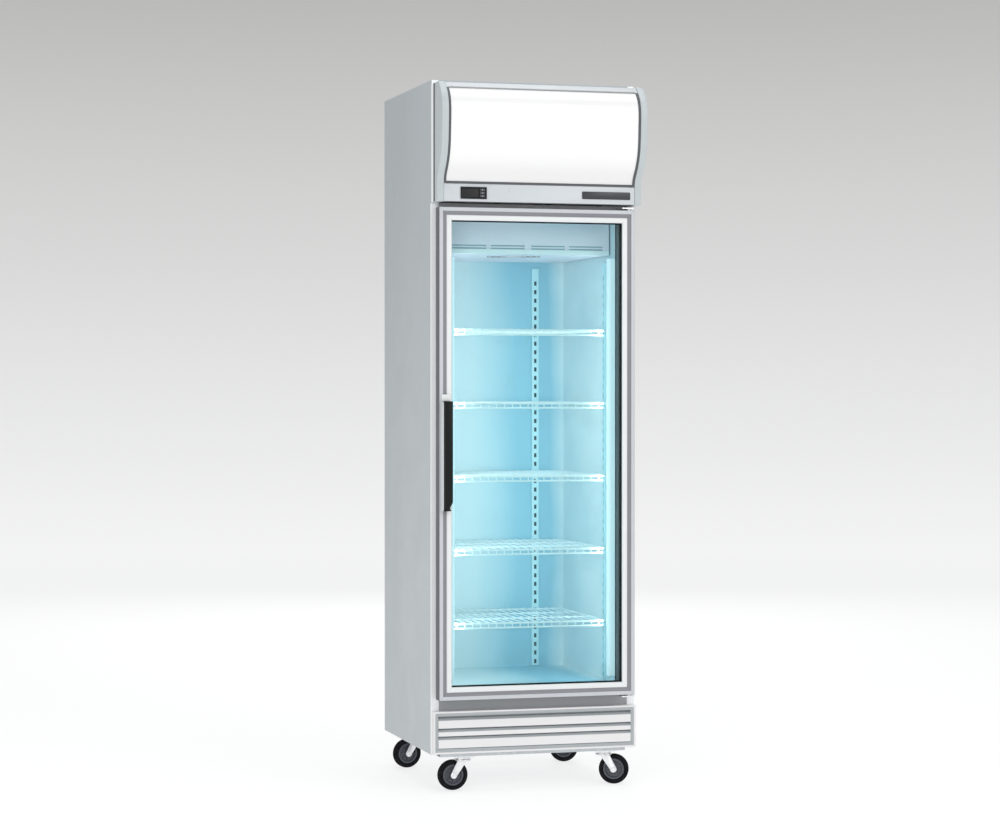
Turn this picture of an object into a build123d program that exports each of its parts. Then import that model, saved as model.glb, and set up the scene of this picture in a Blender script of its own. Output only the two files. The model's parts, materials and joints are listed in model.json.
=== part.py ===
"""Upright one-door glass merchandiser: an insulated cabinet on four swivel casters, with a
lit canopy, a self-closing double-glazed door, five wire shelves and a condensing unit in the
compartment behind the canopy.

Millimetres. X runs to the viewer's right, Y to the back and Z up. The origin is on the floor,
under the middle of the whole object.
"""

import os
from math import cos, radians, sin

from build123d import *

# Driving dimensions ------------------------------------------------------------------------
WIDTH = 620.0                # across the side panels
HEIGHT = 2070.0              # floor to the top panel
CABINET_DEPTH = 585.0        # front edge of the side panels to their back edge
CANOPY_REACH = 125.0         # how far the canopy's nose stands in front of the cabinet
CABINET_BOTTOM = 110.0       # underside of the side panels above the floor
SHEET = 1.0                  # outer and inner skins
GAP = 0.5                    # assembly gap between neighbouring pieces

CAVITY_HALF_WIDTH = 256.0
CAVITY_DEPTH = 528.0         # measured from the cabinet's front plane
CAVITY_FLOOR = 302.0
CAVITY_CEILING = 1665.0
FOAM_BOTTOM = 246.0
FOAM_TOP = 1714.0

DOOR_HALF_WIDTH = 298.0
DOOR_BOTTOM = 272.0
DOOR_TOP = 1700.0
DOOR_THICKNESS = 40.0
DOOR_STANDOFF = 5.0          # gasket space between the door and the cabinet
DOOR_FRAME_WIDTH = 38.0

SHELF_COUNT = 5
SLOT_PITCH = 27.0            # slots in the shelf standards
SHELF_PITCH = 8 * SLOT_PITCH
LOWEST_SHELF = 480.0

WHEEL_RADIUS = 44.5
CASTER_HEIGHT = 102.0        # floor to the top of the caster's plate
CASTER_TRAIL = 30.0

# Derived places ----------------------------------------------------------------------------
HALF = WIDTH / 2
FRONT = (CANOPY_REACH - CABINET_DEPTH) / 2
BACK = FRONT + CABINET_DEPTH
BACK_PANEL = BACK - 8.0      # outer face of the back panel, set in from the side panels' edges
CANOPY_BOTTOM = FOAM_TOP
CANOPY_TOP = HEIGHT - 12.0
CAP_WIDTH = 20.0             # width of each canopy end cap
CANOPY_HALF = HALF - CAP_WIDTH
DOOR_BACK = FRONT - DOOR_STANDOFF
DOOR_FRONT = DOOR_BACK - DOOR_THICKNESS
PIVOT = (DOOR_HALF_WIDTH - 12.0, FRONT - 25.0)
CASTERS = {                  # swivel centre x, y and the direction that the wheel trails
    "front_left": (-206.0, FRONT + 42.0, 180.0),
    "front_right": (230.0, FRONT + 42.0, -22.0),
    "rear_left": (-225.0, FRONT + 525.0, 188.0),
    "rear_right": (225.0, FRONT + 525.0, -20.0),
}
SHELF_HEIGHTS = [LOWEST_SHELF + i * SHELF_PITCH for i in range(SHELF_COUNT)]

nodes = {}


# Helpers -----------------------------------------------------------------------------------
def block(x0, x1, y0, y1, z0, z1):
    """A box between two opposite corners."""
    middle = Pos((x0 + x1) / 2, (y0 + y1) / 2, (z0 + z1) / 2)
    return middle * Box(abs(x1 - x0), abs(y1 - y0), abs(z1 - z0))


def rod(start, end, radius):
    """A round bar from one point to another."""
    a, b = Vector(*start), Vector(*end)
    base = Align.CENTER, Align.CENTER, Align.MIN
    return Plane(origin=a, z_dir=b - a) * Cylinder(radius, (b - a).length, align=base)


def tube(start, end, radius, bore):
    """A round pipe from one point to another."""
    return rod(start, end, radius) - rod(start, end, bore)


def bent_bar(points, radius, bend):
    """A round bar along straight runs joined by bends of one radius."""
    path = FilletPolyline(*points, radius=bend)
    section = Plane(origin=path @ 0, z_dir=path % 0) * Circle(radius)
    return sweep(section, path=path)


def both_sides(shape):
    """The shape and its mirror image across the cabinet's middle."""
    return [shape, mirror(shape, about=Plane.YZ)]


def fuse(shapes):
    """One solid made of several that touch."""
    first, *rest = shapes
    return first + rest


def keep(name, *shapes):
    """Adds a node made of one or more separate solids."""
    solids = [s for shape in shapes for s in shape.solids()]
    nodes[name] = solids[0] if len(solids) == 1 else Compound(solids)


def prism_yz(outline, x0, x1):
    """A closed outline of (y, z) points, run along X."""
    face = make_face(Polyline(*outline, close=True))
    return extrude(Plane.YZ.offset(x0) * face, amount=x1 - x0)


def prism_xz(outline, y0, y1):
    """A closed outline of (x, z) points, run along Y."""
    face = make_face(Polyline(*outline, close=True))
    return extrude(Plane.XZ.offset(-y0) * face, amount=-(y1 - y0))


# Cabinet shell -----------------------------------------------------------------------------
SIDE_FLANGE = 22.0           # front return of each side panel
FLANGE_BEND = 3.0


def side_panel():
    """The left side panel: one folded sheet with a front return."""
    x, y = -HALF + SHEET / 2, FRONT + SHEET / 2
    path = FilletPolyline((x + SIDE_FLANGE - SHEET / 2, y), (x, y), (x, BACK), radius=FLANGE_BEND)
    sheet = extrude(trace(path, SHEET), amount=HEIGHT - CABINET_BOTTOM)
    return Pos(0, 0, CABINET_BOTTOM) * sheet


def screw_places():
    """Where screws hold the back panel and the rear grille, as (x, z)."""
    rows = [140.0, 520.0, 900.0, 1280.0, 1690.0, 1750.0, 2040.0]
    return [(side * 296.0, z) for z in rows for side in (-1, 1)]


def screw_holes(z0, z1):
    """Cutters for the screws that fall between two heights."""
    places = [(x, z) for x, z in screw_places() if z0 < z < z1]
    return [rod((x, BACK_PANEL - 20, z), (x, BACK_PANEL + 5, z), 2.1) for x, z in places]


def rear_screw(x, z):
    """A pan-head screw driven in from the back."""
    shank = rod((x, BACK_PANEL - 10, z), (x, BACK_PANEL, z), 2.0)
    head = rod((x, BACK_PANEL, z), (x, BACK_PANEL + 2.6, z), 4.2)
    slot = block(x - 3.2, x + 3.2, BACK_PANEL + 1.4, BACK_PANEL + 3, z - 0.5, z + 0.5)
    cross = block(x - 0.5, x + 0.5, BACK_PANEL + 1.4, BACK_PANEL + 3, z - 3.2, z + 3.2)
    return shank + head - slot - cross


def back_sheet(z0, z1):
    """A back sheet with folded edges that run along the side panels."""
    inner = HALF - SHEET - GAP
    y = BACK_PANEL - SHEET / 2
    corners = [(-inner + SHEET / 2, y - 14), (-inner + SHEET / 2, y), (inner - SHEET / 2, y),
               (inner - SHEET / 2, y - 14)]
    sheet = extrude(trace(FilletPolyline(*corners, radius=2.0), SHEET), amount=z1 - z0)
    return Pos(0, 0, z0) * sheet


GRILLE_BOTTOM = FOAM_TOP + 4.0
GLAND_PLACE = (-262.0, 1790.0)
GLAND_BORE = 4.5


def rear_grille():
    """The vented cover over the condensing unit, with a hole for the cord gland."""
    sheet = back_sheet(GRILLE_BOTTOM, HEIGHT - 4)
    slots = [block(x, x + 100, BACK_PANEL - 3, BACK_PANEL + 1, z, z + 6)
             for z in [1770 + 18 * i for i in range(14)] for x in (-212, -98, 16, 130)]
    gland = rod((GLAND_PLACE[0], BACK_PANEL - 5, GLAND_PLACE[1]),
                (GLAND_PLACE[0], BACK_PANEL + 5, GLAND_PLACE[1]), 8.2)
    return sheet - slots - screw_holes(GRILLE_BOTTOM, HEIGHT) - gland


def top_panel():
    """The flat top, with a folded lip along each side."""
    inner = HALF - SHEET - GAP
    y0, y1 = FRONT + 3.0, BACK_PANEL - SHEET - GAP
    plate = block(-inner, inner, y0, y1, HEIGHT - SHEET, HEIGHT)
    lip = block(-inner, -inner + SHEET, y0, y1 - 16, HEIGHT - 16, HEIGHT - SHEET)
    return fuse([plate, *both_sides(lip)])


DRAIN_X = -180.0
DRAIN_Y = FRONT + CAVITY_DEPTH + 14.0
DRAIN_STUB_Z = 1581.5
DRAIN_ROUTE = [(DRAIN_X, FRONT + CAVITY_DEPTH - 2, DRAIN_STUB_Z), (DRAIN_X, DRAIN_Y, DRAIN_STUB_Z),
               (DRAIN_X, DRAIN_Y, 156.0)]
SUCTION = (205.0, FRONT + 470.0)


def insulation():
    """Five foam slabs: two sides, back, ceiling and floor."""
    clear = SHEET + GAP
    inner = CAVITY_HALF_WIDTH + clear
    y0, y1 = FRONT + 4.0, BACK_PANEL - 18.0
    rear = FRONT + CAVITY_DEPTH + clear
    side = block(-HALF + 2, -inner, y0, y1, FOAM_BOTTOM, FOAM_TOP)
    back_slab = block(-inner, inner, rear, y1, FOAM_BOTTOM, FOAM_TOP)
    back_slab -= bent_bar(DRAIN_ROUTE, 9.0, 12.0)
    ceiling = block(-inner, inner, y0, rear, CAVITY_CEILING + clear, FOAM_TOP)
    ceiling -= rod((*SUCTION, CAVITY_CEILING), (*SUCTION, FOAM_TOP + 1), 6.5)
    floor = block(-inner, inner, y0, rear, FOAM_BOTTOM, CAVITY_FLOOR - clear)
    return [*both_sides(side), back_slab, ceiling, floor]


JAMB_LIP = 14.0              # how far the face frame wraps into the cavity
FACE_BOTTOM = 222.0          # its lower edge, hidden behind the kick panel


def inner_liner():
    """The cavity's one-piece inner skin, open at the front."""
    y0, y1 = FRONT + JAMB_LIP + GAP, FRONT + CAVITY_DEPTH
    half = CAVITY_HALF_WIDTH
    outside = block(-half - SHEET, half + SHEET, y0, y1 + SHEET,
                    CAVITY_FLOOR - SHEET, CAVITY_CEILING + SHEET)
    cavity = block(-half, half, y0 - 1, y1, CAVITY_FLOOR, CAVITY_CEILING)
    drain = rod((DRAIN_X, y1 - 5, DRAIN_STUB_Z), (DRAIN_X, y1 + 5, DRAIN_STUB_Z), 9.0)
    suction = rod((*SUCTION, CAVITY_CEILING - 5), (*SUCTION, CAVITY_CEILING + 5), 6.5)
    return outside - cavity - drain - suction


def face_frame():
    """Steel strips round the door opening that the magnetic gasket closes on."""
    inner, outer = CAVITY_HALF_WIDTH, HALF - SIDE_FLANGE - GAP
    face = FRONT + 1.5
    jamb = fuse([block(-outer, -inner, FRONT, face, FACE_BOTTOM, CANOPY_BOTTOM),
                 block(-inner - SHEET, -inner, face, FRONT + JAMB_LIP, CAVITY_FLOOR, CAVITY_CEILING)])
    head = fuse([block(-inner, inner, FRONT, face, CAVITY_CEILING, CANOPY_BOTTOM),
                 block(-inner, inner, face, FRONT + JAMB_LIP, CAVITY_CEILING, CAVITY_CEILING + SHEET)])
    sill = fuse([block(-inner, inner, FRONT, face, FACE_BOTTOM, CAVITY_FLOOR),
                 block(-inner, inner, face, FRONT + JAMB_LIP, CAVITY_FLOOR - SHEET, CAVITY_FLOOR)])
    return [*both_sides(jamb), head, sill]


keep("side_panels", *both_sides(side_panel()))
keep("back_panel", back_sheet(CABINET_BOTTOM, FOAM_TOP + 2) - screw_holes(CABINET_BOTTOM, FOAM_TOP))
keep("rear_grille", rear_grille())
keep("top_panel", top_panel())
keep("insulation_panels", *insulation())
keep("inner_liner", inner_liner())
keep("face_frame", *face_frame())
keep("panel_screws", *[rear_screw(x, z) for x, z in screw_places()])


# Base --------------------------------------------------------------------------------------
RAIL_TOP = 132.0
RAIL_HALF_LENGTH = 284.0
RAIL_DEPTH = 76.0
RAIL_WALL = 2.0
PLATE_BOLT_X, PLATE_BOLT_Y = 26.0, 22.0


def caster_bolt_places(name):
    """The four bolt centres of one caster's plate."""
    x, y, _ = CASTERS[name]
    return [(x + i * PLATE_BOLT_X, y + j * PLATE_BOLT_Y) for i in (-1, 1) for j in (-1, 1)]


def chassis_rail(side):
    """A cross channel, open at the top, that carries two casters."""
    y = CASTERS[f"{side}_left"][1]
    y0, y1 = y - RAIL_DEPTH / 2, y + RAIL_DEPTH / 2
    outside = block(-RAIL_HALF_LENGTH, RAIL_HALF_LENGTH, y0, y1, CASTER_HEIGHT, RAIL_TOP)
    inside = block(-RAIL_HALF_LENGTH - 1, RAIL_HALF_LENGTH + 1, y0 + RAIL_WALL, y1 - RAIL_WALL,
                   CASTER_HEIGHT + RAIL_WALL, RAIL_TOP + 1)
    holes = [rod((hx, hy, CASTER_HEIGHT - 1), (hx, hy, CASTER_HEIGHT + 5), 3.3)
             for end in ("left", "right") for hx, hy in caster_bolt_places(f"{side}_{end}")]
    return outside - inside - holes


def base_pan():
    """The floor of the base compartment, with a folded edge all round."""
    half, y0, y1 = HALF - 5.0, FRONT + 6.0, BACK_PANEL - 22.0
    outside = block(-half, half, y0, y1, RAIL_TOP, RAIL_TOP + 14)
    inside = block(-half + 1.5, half - 1.5, y0 + 1.5, y1 - 1.5, RAIL_TOP + 1.5, RAIL_TOP + 15)
    return outside - inside


BASE_GRILLE_TOP = 238.0
BASE_GRILLE_BOTTOM = 114.0
BASE_GRILLE_DEPTH = 22.0
BASE_GRILLE_BORDER = 15.0
# Each blade: its bottom, its top, and how far its top and bottom edges lie behind the frame.
BLADES = [(189.0, 216.0, 9.0, 2.5), (166.0, 184.0, 9.0, 6.0), (131.0, 161.5, 9.0, 2.5)]


def base_grille():
    """The louvred kick panel under the door: a raised frame with three slanting blades."""
    y0, half, border = FRONT - BASE_GRILLE_DEPTH, HALF - 1.0, BASE_GRILLE_BORDER
    frame = block(-half, half, y0, FRONT - GAP, BASE_GRILLE_BOTTOM, BASE_GRILLE_TOP)
    frame = fillet(frame.edges().group_by(Axis.Y)[0], 4.0)
    window = block(-half + border, half - border, y0 - 1, FRONT + 1,
                   BASE_GRILLE_BOTTOM + border, BASE_GRILLE_TOP - border - 4)
    frame -= window
    reach = half - border
    blades = []
    for z0, z1, top_set, low_set in BLADES:
        outline = [(y0 + low_set, z0), (y0 + top_set, z1), (y0 + top_set + 1.6, z1),
                   (y0 + low_set + 1.6, z0), (FRONT - 6, z0), (FRONT - 6, z0 - 1.6),
                   (y0 + low_set, z0 - 1.6)]
        blades.append(prism_yz(outline, -reach, reach))
    return fuse([frame, *blades])


def drip_tray():
    """The tray that catches and evaporates the condensate."""
    x0, x1, y0, y1 = -290.0, -70.0, FRONT + 330.0, BACK_PANEL - 26.0
    z0 = RAIL_TOP + 1.5
    return block(x0, x1, y0, y1, z0, z0 + 50) - block(x0 + 2, x1 - 2, y0 + 2, y1 - 2, z0 + 2, z0 + 51)


keep("base_frame", chassis_rail("front"), chassis_rail("rear"), base_pan())
keep("base_grille", base_grille())
keep("drip_tray", drip_tray())


# Casters -----------------------------------------------------------------------------------
PLATE_THICKNESS = 2.5
KINGPIN = 5.0
CROWN_TOP = CASTER_HEIGHT - PLATE_THICKNESS - 5.0
CROWN_BOTTOM = CROWN_TOP - 2.5
TYRE_HALF_WIDTH = 12.0
HUB_HALF_WIDTH = 13.5
LEG_INNER = 15.0
LEG_OUTER = 17.5
AXLE = 4.0


def place_caster(name, shape):
    """Turns a caster's piece to its trail direction and moves it to its swivel centre."""
    x, y, direction = CASTERS[name]
    return Pos(x, y, 0) * Rot(0, 0, direction) * shape


def caster_plate(name):
    """The bolted top plate with its raised ball race."""
    x, y, _ = CASTERS[name]
    z0, z1 = CASTER_HEIGHT - PLATE_THICKNESS, CASTER_HEIGHT
    plate = block(x - 36, x + 36, y - 32, y + 32, z0, z1)
    plate = fillet(plate.edges().filter_by(Axis.Z), 6.0)
    race = rod((x, y, CROWN_TOP + 0.3), (x, y, z0), 21.0)
    bore = rod((x, y, CROWN_TOP - 1), (x, y, z1 + 1), KINGPIN + 0.1)
    holes = [rod((hx, hy, z0 - 1), (hx, hy, z1 + 1), 3.3) for hx, hy in caster_bolt_places(name)]
    bolts = [rod((hx, hy, z0), (hx, hy, z1 + RAIL_WALL + 6), 2.9)
             + rod((hx, hy, z0 - 3), (hx, hy, z0), 5.2) for hx, hy in caster_bolt_places(name)]
    return fuse([plate + race - bore - holes, *bolts])


def caster_fork():
    """Crown, two tapering legs, kingpin and axle bolt, with the wheel trailing along +X."""
    crown = rod((0, 0, CROWN_BOTTOM), (0, 0, CROWN_TOP), 22.0)
    kingpin = rod((0, 0, CROWN_BOTTOM - 2.5), (0, 0, CASTER_HEIGHT - 0.5), KINGPIN)
    outline = [(-15, CROWN_TOP), (15, CROWN_TOP), (CASTER_TRAIL + 8.6, WHEEL_RADIUS + 3),
               (CASTER_TRAIL - 8.6, WHEEL_RADIUS - 3)]
    leg = prism_xz(outline, LEG_INNER, LEG_OUTER)
    leg += rod((CASTER_TRAIL, LEG_INNER, WHEEL_RADIUS), (CASTER_TRAIL, LEG_OUTER, WHEEL_RADIUS), 9.0)
    shoulder = block(-15, 15, -LEG_OUTER, LEG_OUTER, CROWN_BOTTOM, CROWN_TOP)
    bolt_end = LEG_OUTER + 4
    axle = rod((CASTER_TRAIL, -bolt_end, WHEEL_RADIUS), (CASTER_TRAIL, bolt_end, WHEEL_RADIUS), AXLE)
    heads = [rod((CASTER_TRAIL, s * LEG_OUTER, WHEEL_RADIUS),
                 (CASTER_TRAIL, s * (LEG_OUTER + 3.5), WHEEL_RADIUS), 6.5) for s in (-1, 1)]
    other_leg = mirror(leg, about=Plane.XZ)
    return fuse([crown, kingpin, leg, other_leg, shoulder, axle, *heads])


def wheel_ring(outer, inner, half_width, rounding):
    """A ring about the axle with rounded outer edges."""
    ring = Cylinder(outer, 2 * half_width) - Cylinder(inner, 2 * half_width + 2)
    ring = fillet(ring.edges().filter_by(GeomType.CIRCLE).group_by(SortBy.RADIUS)[-1], rounding)
    return Pos(CASTER_TRAIL, 0, WHEEL_RADIUS) * Rot(90, 0, 0) * ring


def caster_wheel():
    """A rubber tyre on a dished hub, as two solids."""
    tyre = wheel_ring(WHEEL_RADIUS, 31.0, TYRE_HALF_WIDTH, 5.0)
    rim = Cylinder(31.0, 18) - Cylinder(25.0, 20)
    web = Cylinder(26.0, 5)
    barrel = Cylinder(11.0, 2 * HUB_HALF_WIDTH)
    hub = rim + web + barrel - Cylinder(AXLE + 0.1, 2 * HUB_HALF_WIDTH + 2)
    return [tyre, Pos(CASTER_TRAIL, 0, WHEEL_RADIUS) * Rot(90, 0, 0) * hub]


keep("caster_plates", *[caster_plate(name) for name in CASTERS])
for name in CASTERS:
    keep(f"caster_fork_{name}", place_caster(name, caster_fork()))
    keep(f"caster_wheel_{name}", *[place_caster(name, s) for s in caster_wheel()])


# Canopy ------------------------------------------------------------------------------------
STRIP_REACH = 66.0           # the control strip's face in front of the cabinet
STRIP_TOP = 1766.0
FACE_TOP = 2040.0
# The nose's side outline above the strip: (reach, height), a flat-fronted bulge.
NOSE = [(66.0, 1766.0), (89.5, 1813.0), (115.0, 1862.0), (123.3, 1930.0), (117.0, 2012.0), (79.0, 2058.0)]
CANOPY_BACK = FRONT - 1.0


def canopy_block(inset, x0, x1):
    """The canopy's side outline, drawn in by an inset all round and run along X."""
    bottom, top = CANOPY_BOTTOM + inset, CANOPY_TOP - inset
    curve = [(FRONT - reach + inset, min(z, top)) for reach, z in NOSE]
    low = (curve[0][0], bottom)
    outline = [Polyline((CANOPY_BACK - inset, top), (CANOPY_BACK - inset, bottom), low, curve[0]),
               Spline(*curve, tangents=[(0, 1), (0.75, 0.65)]),
               Line(curve[-1], (CANOPY_BACK - inset, top))]
    face = make_face(outline)
    return extrude(Plane.YZ.offset(x0) * face, amount=x1 - x0)


def canopy_skin(outer, inner, half=CANOPY_HALF - GAP):
    """The layer of the canopy between two insets, along the length between the end caps."""
    return canopy_block(outer, -half, half) - canopy_block(inner, -half - 1, half + 1)


def end_cap():
    """The left moulded end cap: a plate with a deep rim that follows the nose."""
    pocket = canopy_block(3.0, -HALF + 3.0, -CANOPY_HALF + 1)
    return canopy_block(0, -HALF, -CANOPY_HALF) - pocket


def canopy_housing():
    """The folded back, floor and roof of the light box."""
    skin = canopy_skin(3.0, 4.5)
    front_part = block(-HALF, HALF, FRONT - CANOPY_REACH - 5, FRONT - STRIP_REACH + 5.5, 1700, 2080)
    return skin - front_part


def canopy_face():
    """The bowed translucent sign panel."""
    window = block(-HALF, HALF, FRONT - CANOPY_REACH - 5, FRONT - 60, STRIP_TOP + 3, FACE_TOP - 1)
    return canopy_skin(4.0, 7.0) & window


def canopy_top_rail():
    """The rounded rail that clamps the sign panel's top edge."""
    window = block(-HALF, HALF, FRONT - CANOPY_REACH - 5, FRONT - STRIP_REACH + 5, FACE_TOP, CANOPY_TOP)
    return canopy_skin(1.5, 9.0) & window


CONTROLLER_X = -201.0
CONTROLLER_Z = 1740.0
CONTROLLER_WIDTH = 78.0
CONTROLLER_HEIGHT = 34.5
BODY_WIDTH = 71.0
BODY_HEIGHT = 29.0
STRIP_FACE = FRONT - STRIP_REACH + 1.5


def control_fascia():
    """The strip under the sign panel, with the controller's cut-out."""
    window = block(-HALF, HALF, FRONT - CANOPY_REACH - 5, FRONT - STRIP_REACH + 4.8, 1700, STRIP_TOP)
    strip = canopy_skin(1.5, 3.0) & window
    lip = block(-CANOPY_HALF + GAP, CANOPY_HALF - GAP, STRIP_FACE + 1.5, STRIP_FACE + 14,
                STRIP_TOP - 1.5, STRIP_TOP)
    hole = block(CONTROLLER_X - BODY_WIDTH / 2 - GAP, CONTROLLER_X + BODY_WIDTH / 2 + GAP,
                 STRIP_FACE - 5, STRIP_FACE + 5,
                 CONTROLLER_Z - BODY_HEIGHT / 2 - GAP, CONTROLLER_Z + BODY_HEIGHT / 2 + GAP)
    return strip + lip - hole


LAMP_LENGTH = 517.0
LAMP_RADIUS = 8.0
LAMP_PLACES = [(FRONT - 42.0, 1850.0), (FRONT - 42.0, 1970.0)]


def lamp_holder(y, z):
    """The left holder of one canopy tube, fixed to the light box's back."""
    x1 = -LAMP_LENGTH / 2 + 4
    body = block(x1 - 16, x1, y - 12, CANOPY_BACK - 4.5 - GAP, z - 12, z + 12)
    return body - rod((x1 - 4.5, y, z), (x1 + 1, y, z), LAMP_RADIUS + 0.3)


keep("canopy_trim", *both_sides(end_cap()), canopy_top_rail())
keep("canopy_housing", canopy_housing())
keep("canopy_face", canopy_face())
keep("control_fascia", control_fascia())
keep("canopy_tubes", *[rod((-LAMP_LENGTH / 2, y, z), (LAMP_LENGTH / 2, y, z), LAMP_RADIUS)
                       for y, z in LAMP_PLACES])
keep("tube_holders", *[s for y, z in LAMP_PLACES for s in both_sides(lamp_holder(y, z))])


# Controller and badge ----------------------------------------------------------------------
BUTTONS = {"set": 9.0, "up": 0.0, "down": -9.0}
BUTTON_X = CONTROLLER_X + 26.0
BUTTON_SIZE = (15.0, 6.5)
BEZEL_FRONT = STRIP_FACE - 3.5


def button_block(z, clear, y0, y1):
    """The space of one key, grown by a clearance."""
    w, h = BUTTON_SIZE[0] / 2 + clear, BUTTON_SIZE[1] / 2 + clear
    return block(BUTTON_X - w, BUTTON_X + w, y0, y1, CONTROLLER_Z + z - h, CONTROLLER_Z + z + h)


def display_block(clear, y0, y1):
    """The display window's space, grown by a clearance."""
    return block(CONTROLLER_X - 35 - clear, CONTROLLER_X + 14 + clear, y0, y1,
                 CONTROLLER_Z - 12 - clear, CONTROLLER_Z + 12 + clear)


def controller_housing():
    """The digital thermostat: a bezel over the fascia and a body behind it."""
    w, h = CONTROLLER_WIDTH / 2, CONTROLLER_HEIGHT / 2
    bezel = block(CONTROLLER_X - w, CONTROLLER_X + w, BEZEL_FRONT, STRIP_FACE,
                  CONTROLLER_Z - h, CONTROLLER_Z + h)
    bezel = fillet(bezel.edges().group_by(Axis.Y)[0], 1.2)
    body = block(CONTROLLER_X - BODY_WIDTH / 2, CONTROLLER_X + BODY_WIDTH / 2, STRIP_FACE, STRIP_FACE + 48,
                 CONTROLLER_Z - BODY_HEIGHT / 2, CONTROLLER_Z + BODY_HEIGHT / 2)
    pockets = [button_block(z, 0.3, BEZEL_FRONT - 1, BEZEL_FRONT + 5.5) for z in BUTTONS.values()]
    return bezel + body - display_block(0.1, BEZEL_FRONT - 1, BEZEL_FRONT + 3) - pockets


def button(z):
    """One key, standing 0.8 mm proud of the bezel."""
    return button_block(z, 0, BEZEL_FRONT - 0.8, BEZEL_FRONT + 3.5)


keep("controller_housing", controller_housing())
keep("controller_display", display_block(0, BEZEL_FRONT + 0.4, BEZEL_FRONT + 2.9))
for name, z in BUTTONS.items():
    keep(f"button_{name}", button(z))
badge = block(128, 276, STRIP_FACE - 2, STRIP_FACE, CONTROLLER_Z - 11, CONTROLLER_Z + 11)
keep("badge_plate", fillet(badge.edges().filter_by(Axis.Y), 3.0))


# Door --------------------------------------------------------------------------------------
GLASS_EDGE = 26.0            # how far the panes' edges lie inside the door's edge
PANE = 4.0
# Frame section: (distance in from the door's edge, height above the door's back face).
FRAME_SECTION = [(0, 1), (0, 38.5), (1.5, 40), (11, 40), (13.5, 37.5), (22, 35), (24, 37.5), (36.5, 37.5),
                 (38, 36), (38, 31), (25, 31), (25, 8), (36, 8), (36, 2), (34, 0), (1, 0)]
BUSH_RADIUS = 7.0
PIN_RADIUS = 4.0
BUSH_LENGTH = 20.0


def mitred(length, half_span):
    """One frame member along Z from 0 to its length, its outer edge at x = -half_span, ends mitred."""
    outline = [(-half_span + u, DOOR_BACK - v) for u, v in FRAME_SECTION]
    bar = extrude(make_face(Polyline(*outline, close=True)), amount=length)
    reach = DOOR_FRAME_WIDTH + 1
    ends = [(-half_span - 0.001, 0), (-half_span + reach, reach), (-half_span + reach, length - reach),
            (-half_span - 0.001, length)]
    return bar & prism_xz(ends, DOOR_FRONT - 1, DOOR_BACK + 1)


def hinge_cutters():
    """The bush bores on the hinge line, at the bottom and the top of the door."""
    x, y = PIVOT
    return [rod((x, y, DOOR_BOTTOM - 1), (x, y, DOOR_BOTTOM + BUSH_LENGTH), BUSH_RADIUS),
            rod((x, y, DOOR_TOP - BUSH_LENGTH), (x, y, DOOR_TOP + 1), BUSH_RADIUS)]


def door_members():
    """Handle stile, hinge stile, bottom rail and top rail."""
    height = DOOR_TOP - DOOR_BOTTOM
    centre = (DOOR_TOP + DOOR_BOTTOM) / 2
    stile = Pos(0, 0, DOOR_BOTTOM) * mitred(height, DOOR_HALF_WIDTH)
    rail = Pos(-DOOR_HALF_WIDTH, 0, 0) * Rot(0, 90, 0) * mitred(2 * DOOR_HALF_WIDTH, height / 2)
    top = Pos(0, 0, centre) * rail
    bottom = mirror(top, about=Plane.XY.offset(centre))
    hinge_stile = mirror(stile, about=Plane.YZ)
    return stile, hinge_stile - hinge_cutters(), bottom - hinge_cutters(), top - hinge_cutters()


def door_ring(inner, outer, y0, y1):
    """A rectangular ring in the door, between two distances in from its edge."""
    def slab(edge, a, b):
        half = DOOR_HALF_WIDTH - edge
        return block(-half, half, a, b, DOOR_BOTTOM + edge, DOOR_TOP - edge)
    return slab(outer, y0, y1) - slab(inner, y0 - 1, y1 + 1)


def pane(v):
    """A sheet of glass whose back face lies v above the door's back face."""
    half = DOOR_HALF_WIDTH - GLASS_EDGE
    sheet = block(-half, half, DOOR_BACK - v - PANE, DOOR_BACK - v,
                  DOOR_BOTTOM + GLASS_EDGE, DOOR_TOP - GLASS_EDGE)
    return chamfer(sheet.edges(), 0.6)


def hinge_bush(z0, z1):
    """A nylon bush pressed into the door on the hinge line."""
    x, y = PIVOT
    return tube((x, y, z0), (x, y, z1), BUSH_RADIUS, PIN_RADIUS + 0.08)


HANDLE_X = -DOOR_HALF_WIDTH + 3.0
HANDLE_BOTTOM = 821.0
HANDLE_TOP = 1138.0


def door_handle():
    """A hooked pull: a rounded outer wall and a lip over a finger channel that opens to the glass."""
    def at(u, v):
        return (HANDLE_X + u, DOOR_FRONT - v)
    section = make_face([
        Polyline(at(0, 15), at(0, 0), at(29, 0), at(29, 3), at(6, 3), at(6, 14)),
        RadiusArc(at(6, 14), at(10, 18), 4),
        Polyline(at(10, 18), at(31, 18), at(32, 19), at(32, 22), at(30, 24)),
        Line(at(30, 24), at(9, 24)), RadiusArc(at(9, 24), at(0, 15), -9)])
    bar = extrude(section, amount=HANDLE_TOP - HANDLE_BOTTOM)
    bar = Pos(0, 0, HANDLE_BOTTOM) * bar
    end = block(HANDLE_X + 4, HANDLE_X + 29, DOOR_FRONT - 20, DOOR_FRONT - 2,
                HANDLE_BOTTOM, HANDLE_BOTTOM + 4)
    top_end = Pos(0, 0, HANDLE_TOP - HANDLE_BOTTOM - 4) * end
    corner = [(HANDLE_X + 16, HANDLE_BOTTOM - 1), (HANDLE_X + 40, HANDLE_BOTTOM - 1),
              (HANDLE_X + 40, HANDLE_BOTTOM + 40)]
    return fuse([bar, end, top_end]) - prism_xz(corner, DOOR_FRONT - 30, DOOR_FRONT - 12)


def hinge_bracket(z0, z1, pin_from, pin_to):
    """An angle screwed to the face frame, with the pivot pin standing on it."""
    x, y = PIVOT
    plate = block(x - 26, x + 16, y - 12, FRONT, z0, z1)
    plate = fillet(plate.edges().filter_by(Axis.Z).group_by(Axis.Y)[0], 8.0)
    return plate + rod((x, y, pin_from), (x, y, pin_to), PIN_RADIUS)


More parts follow.
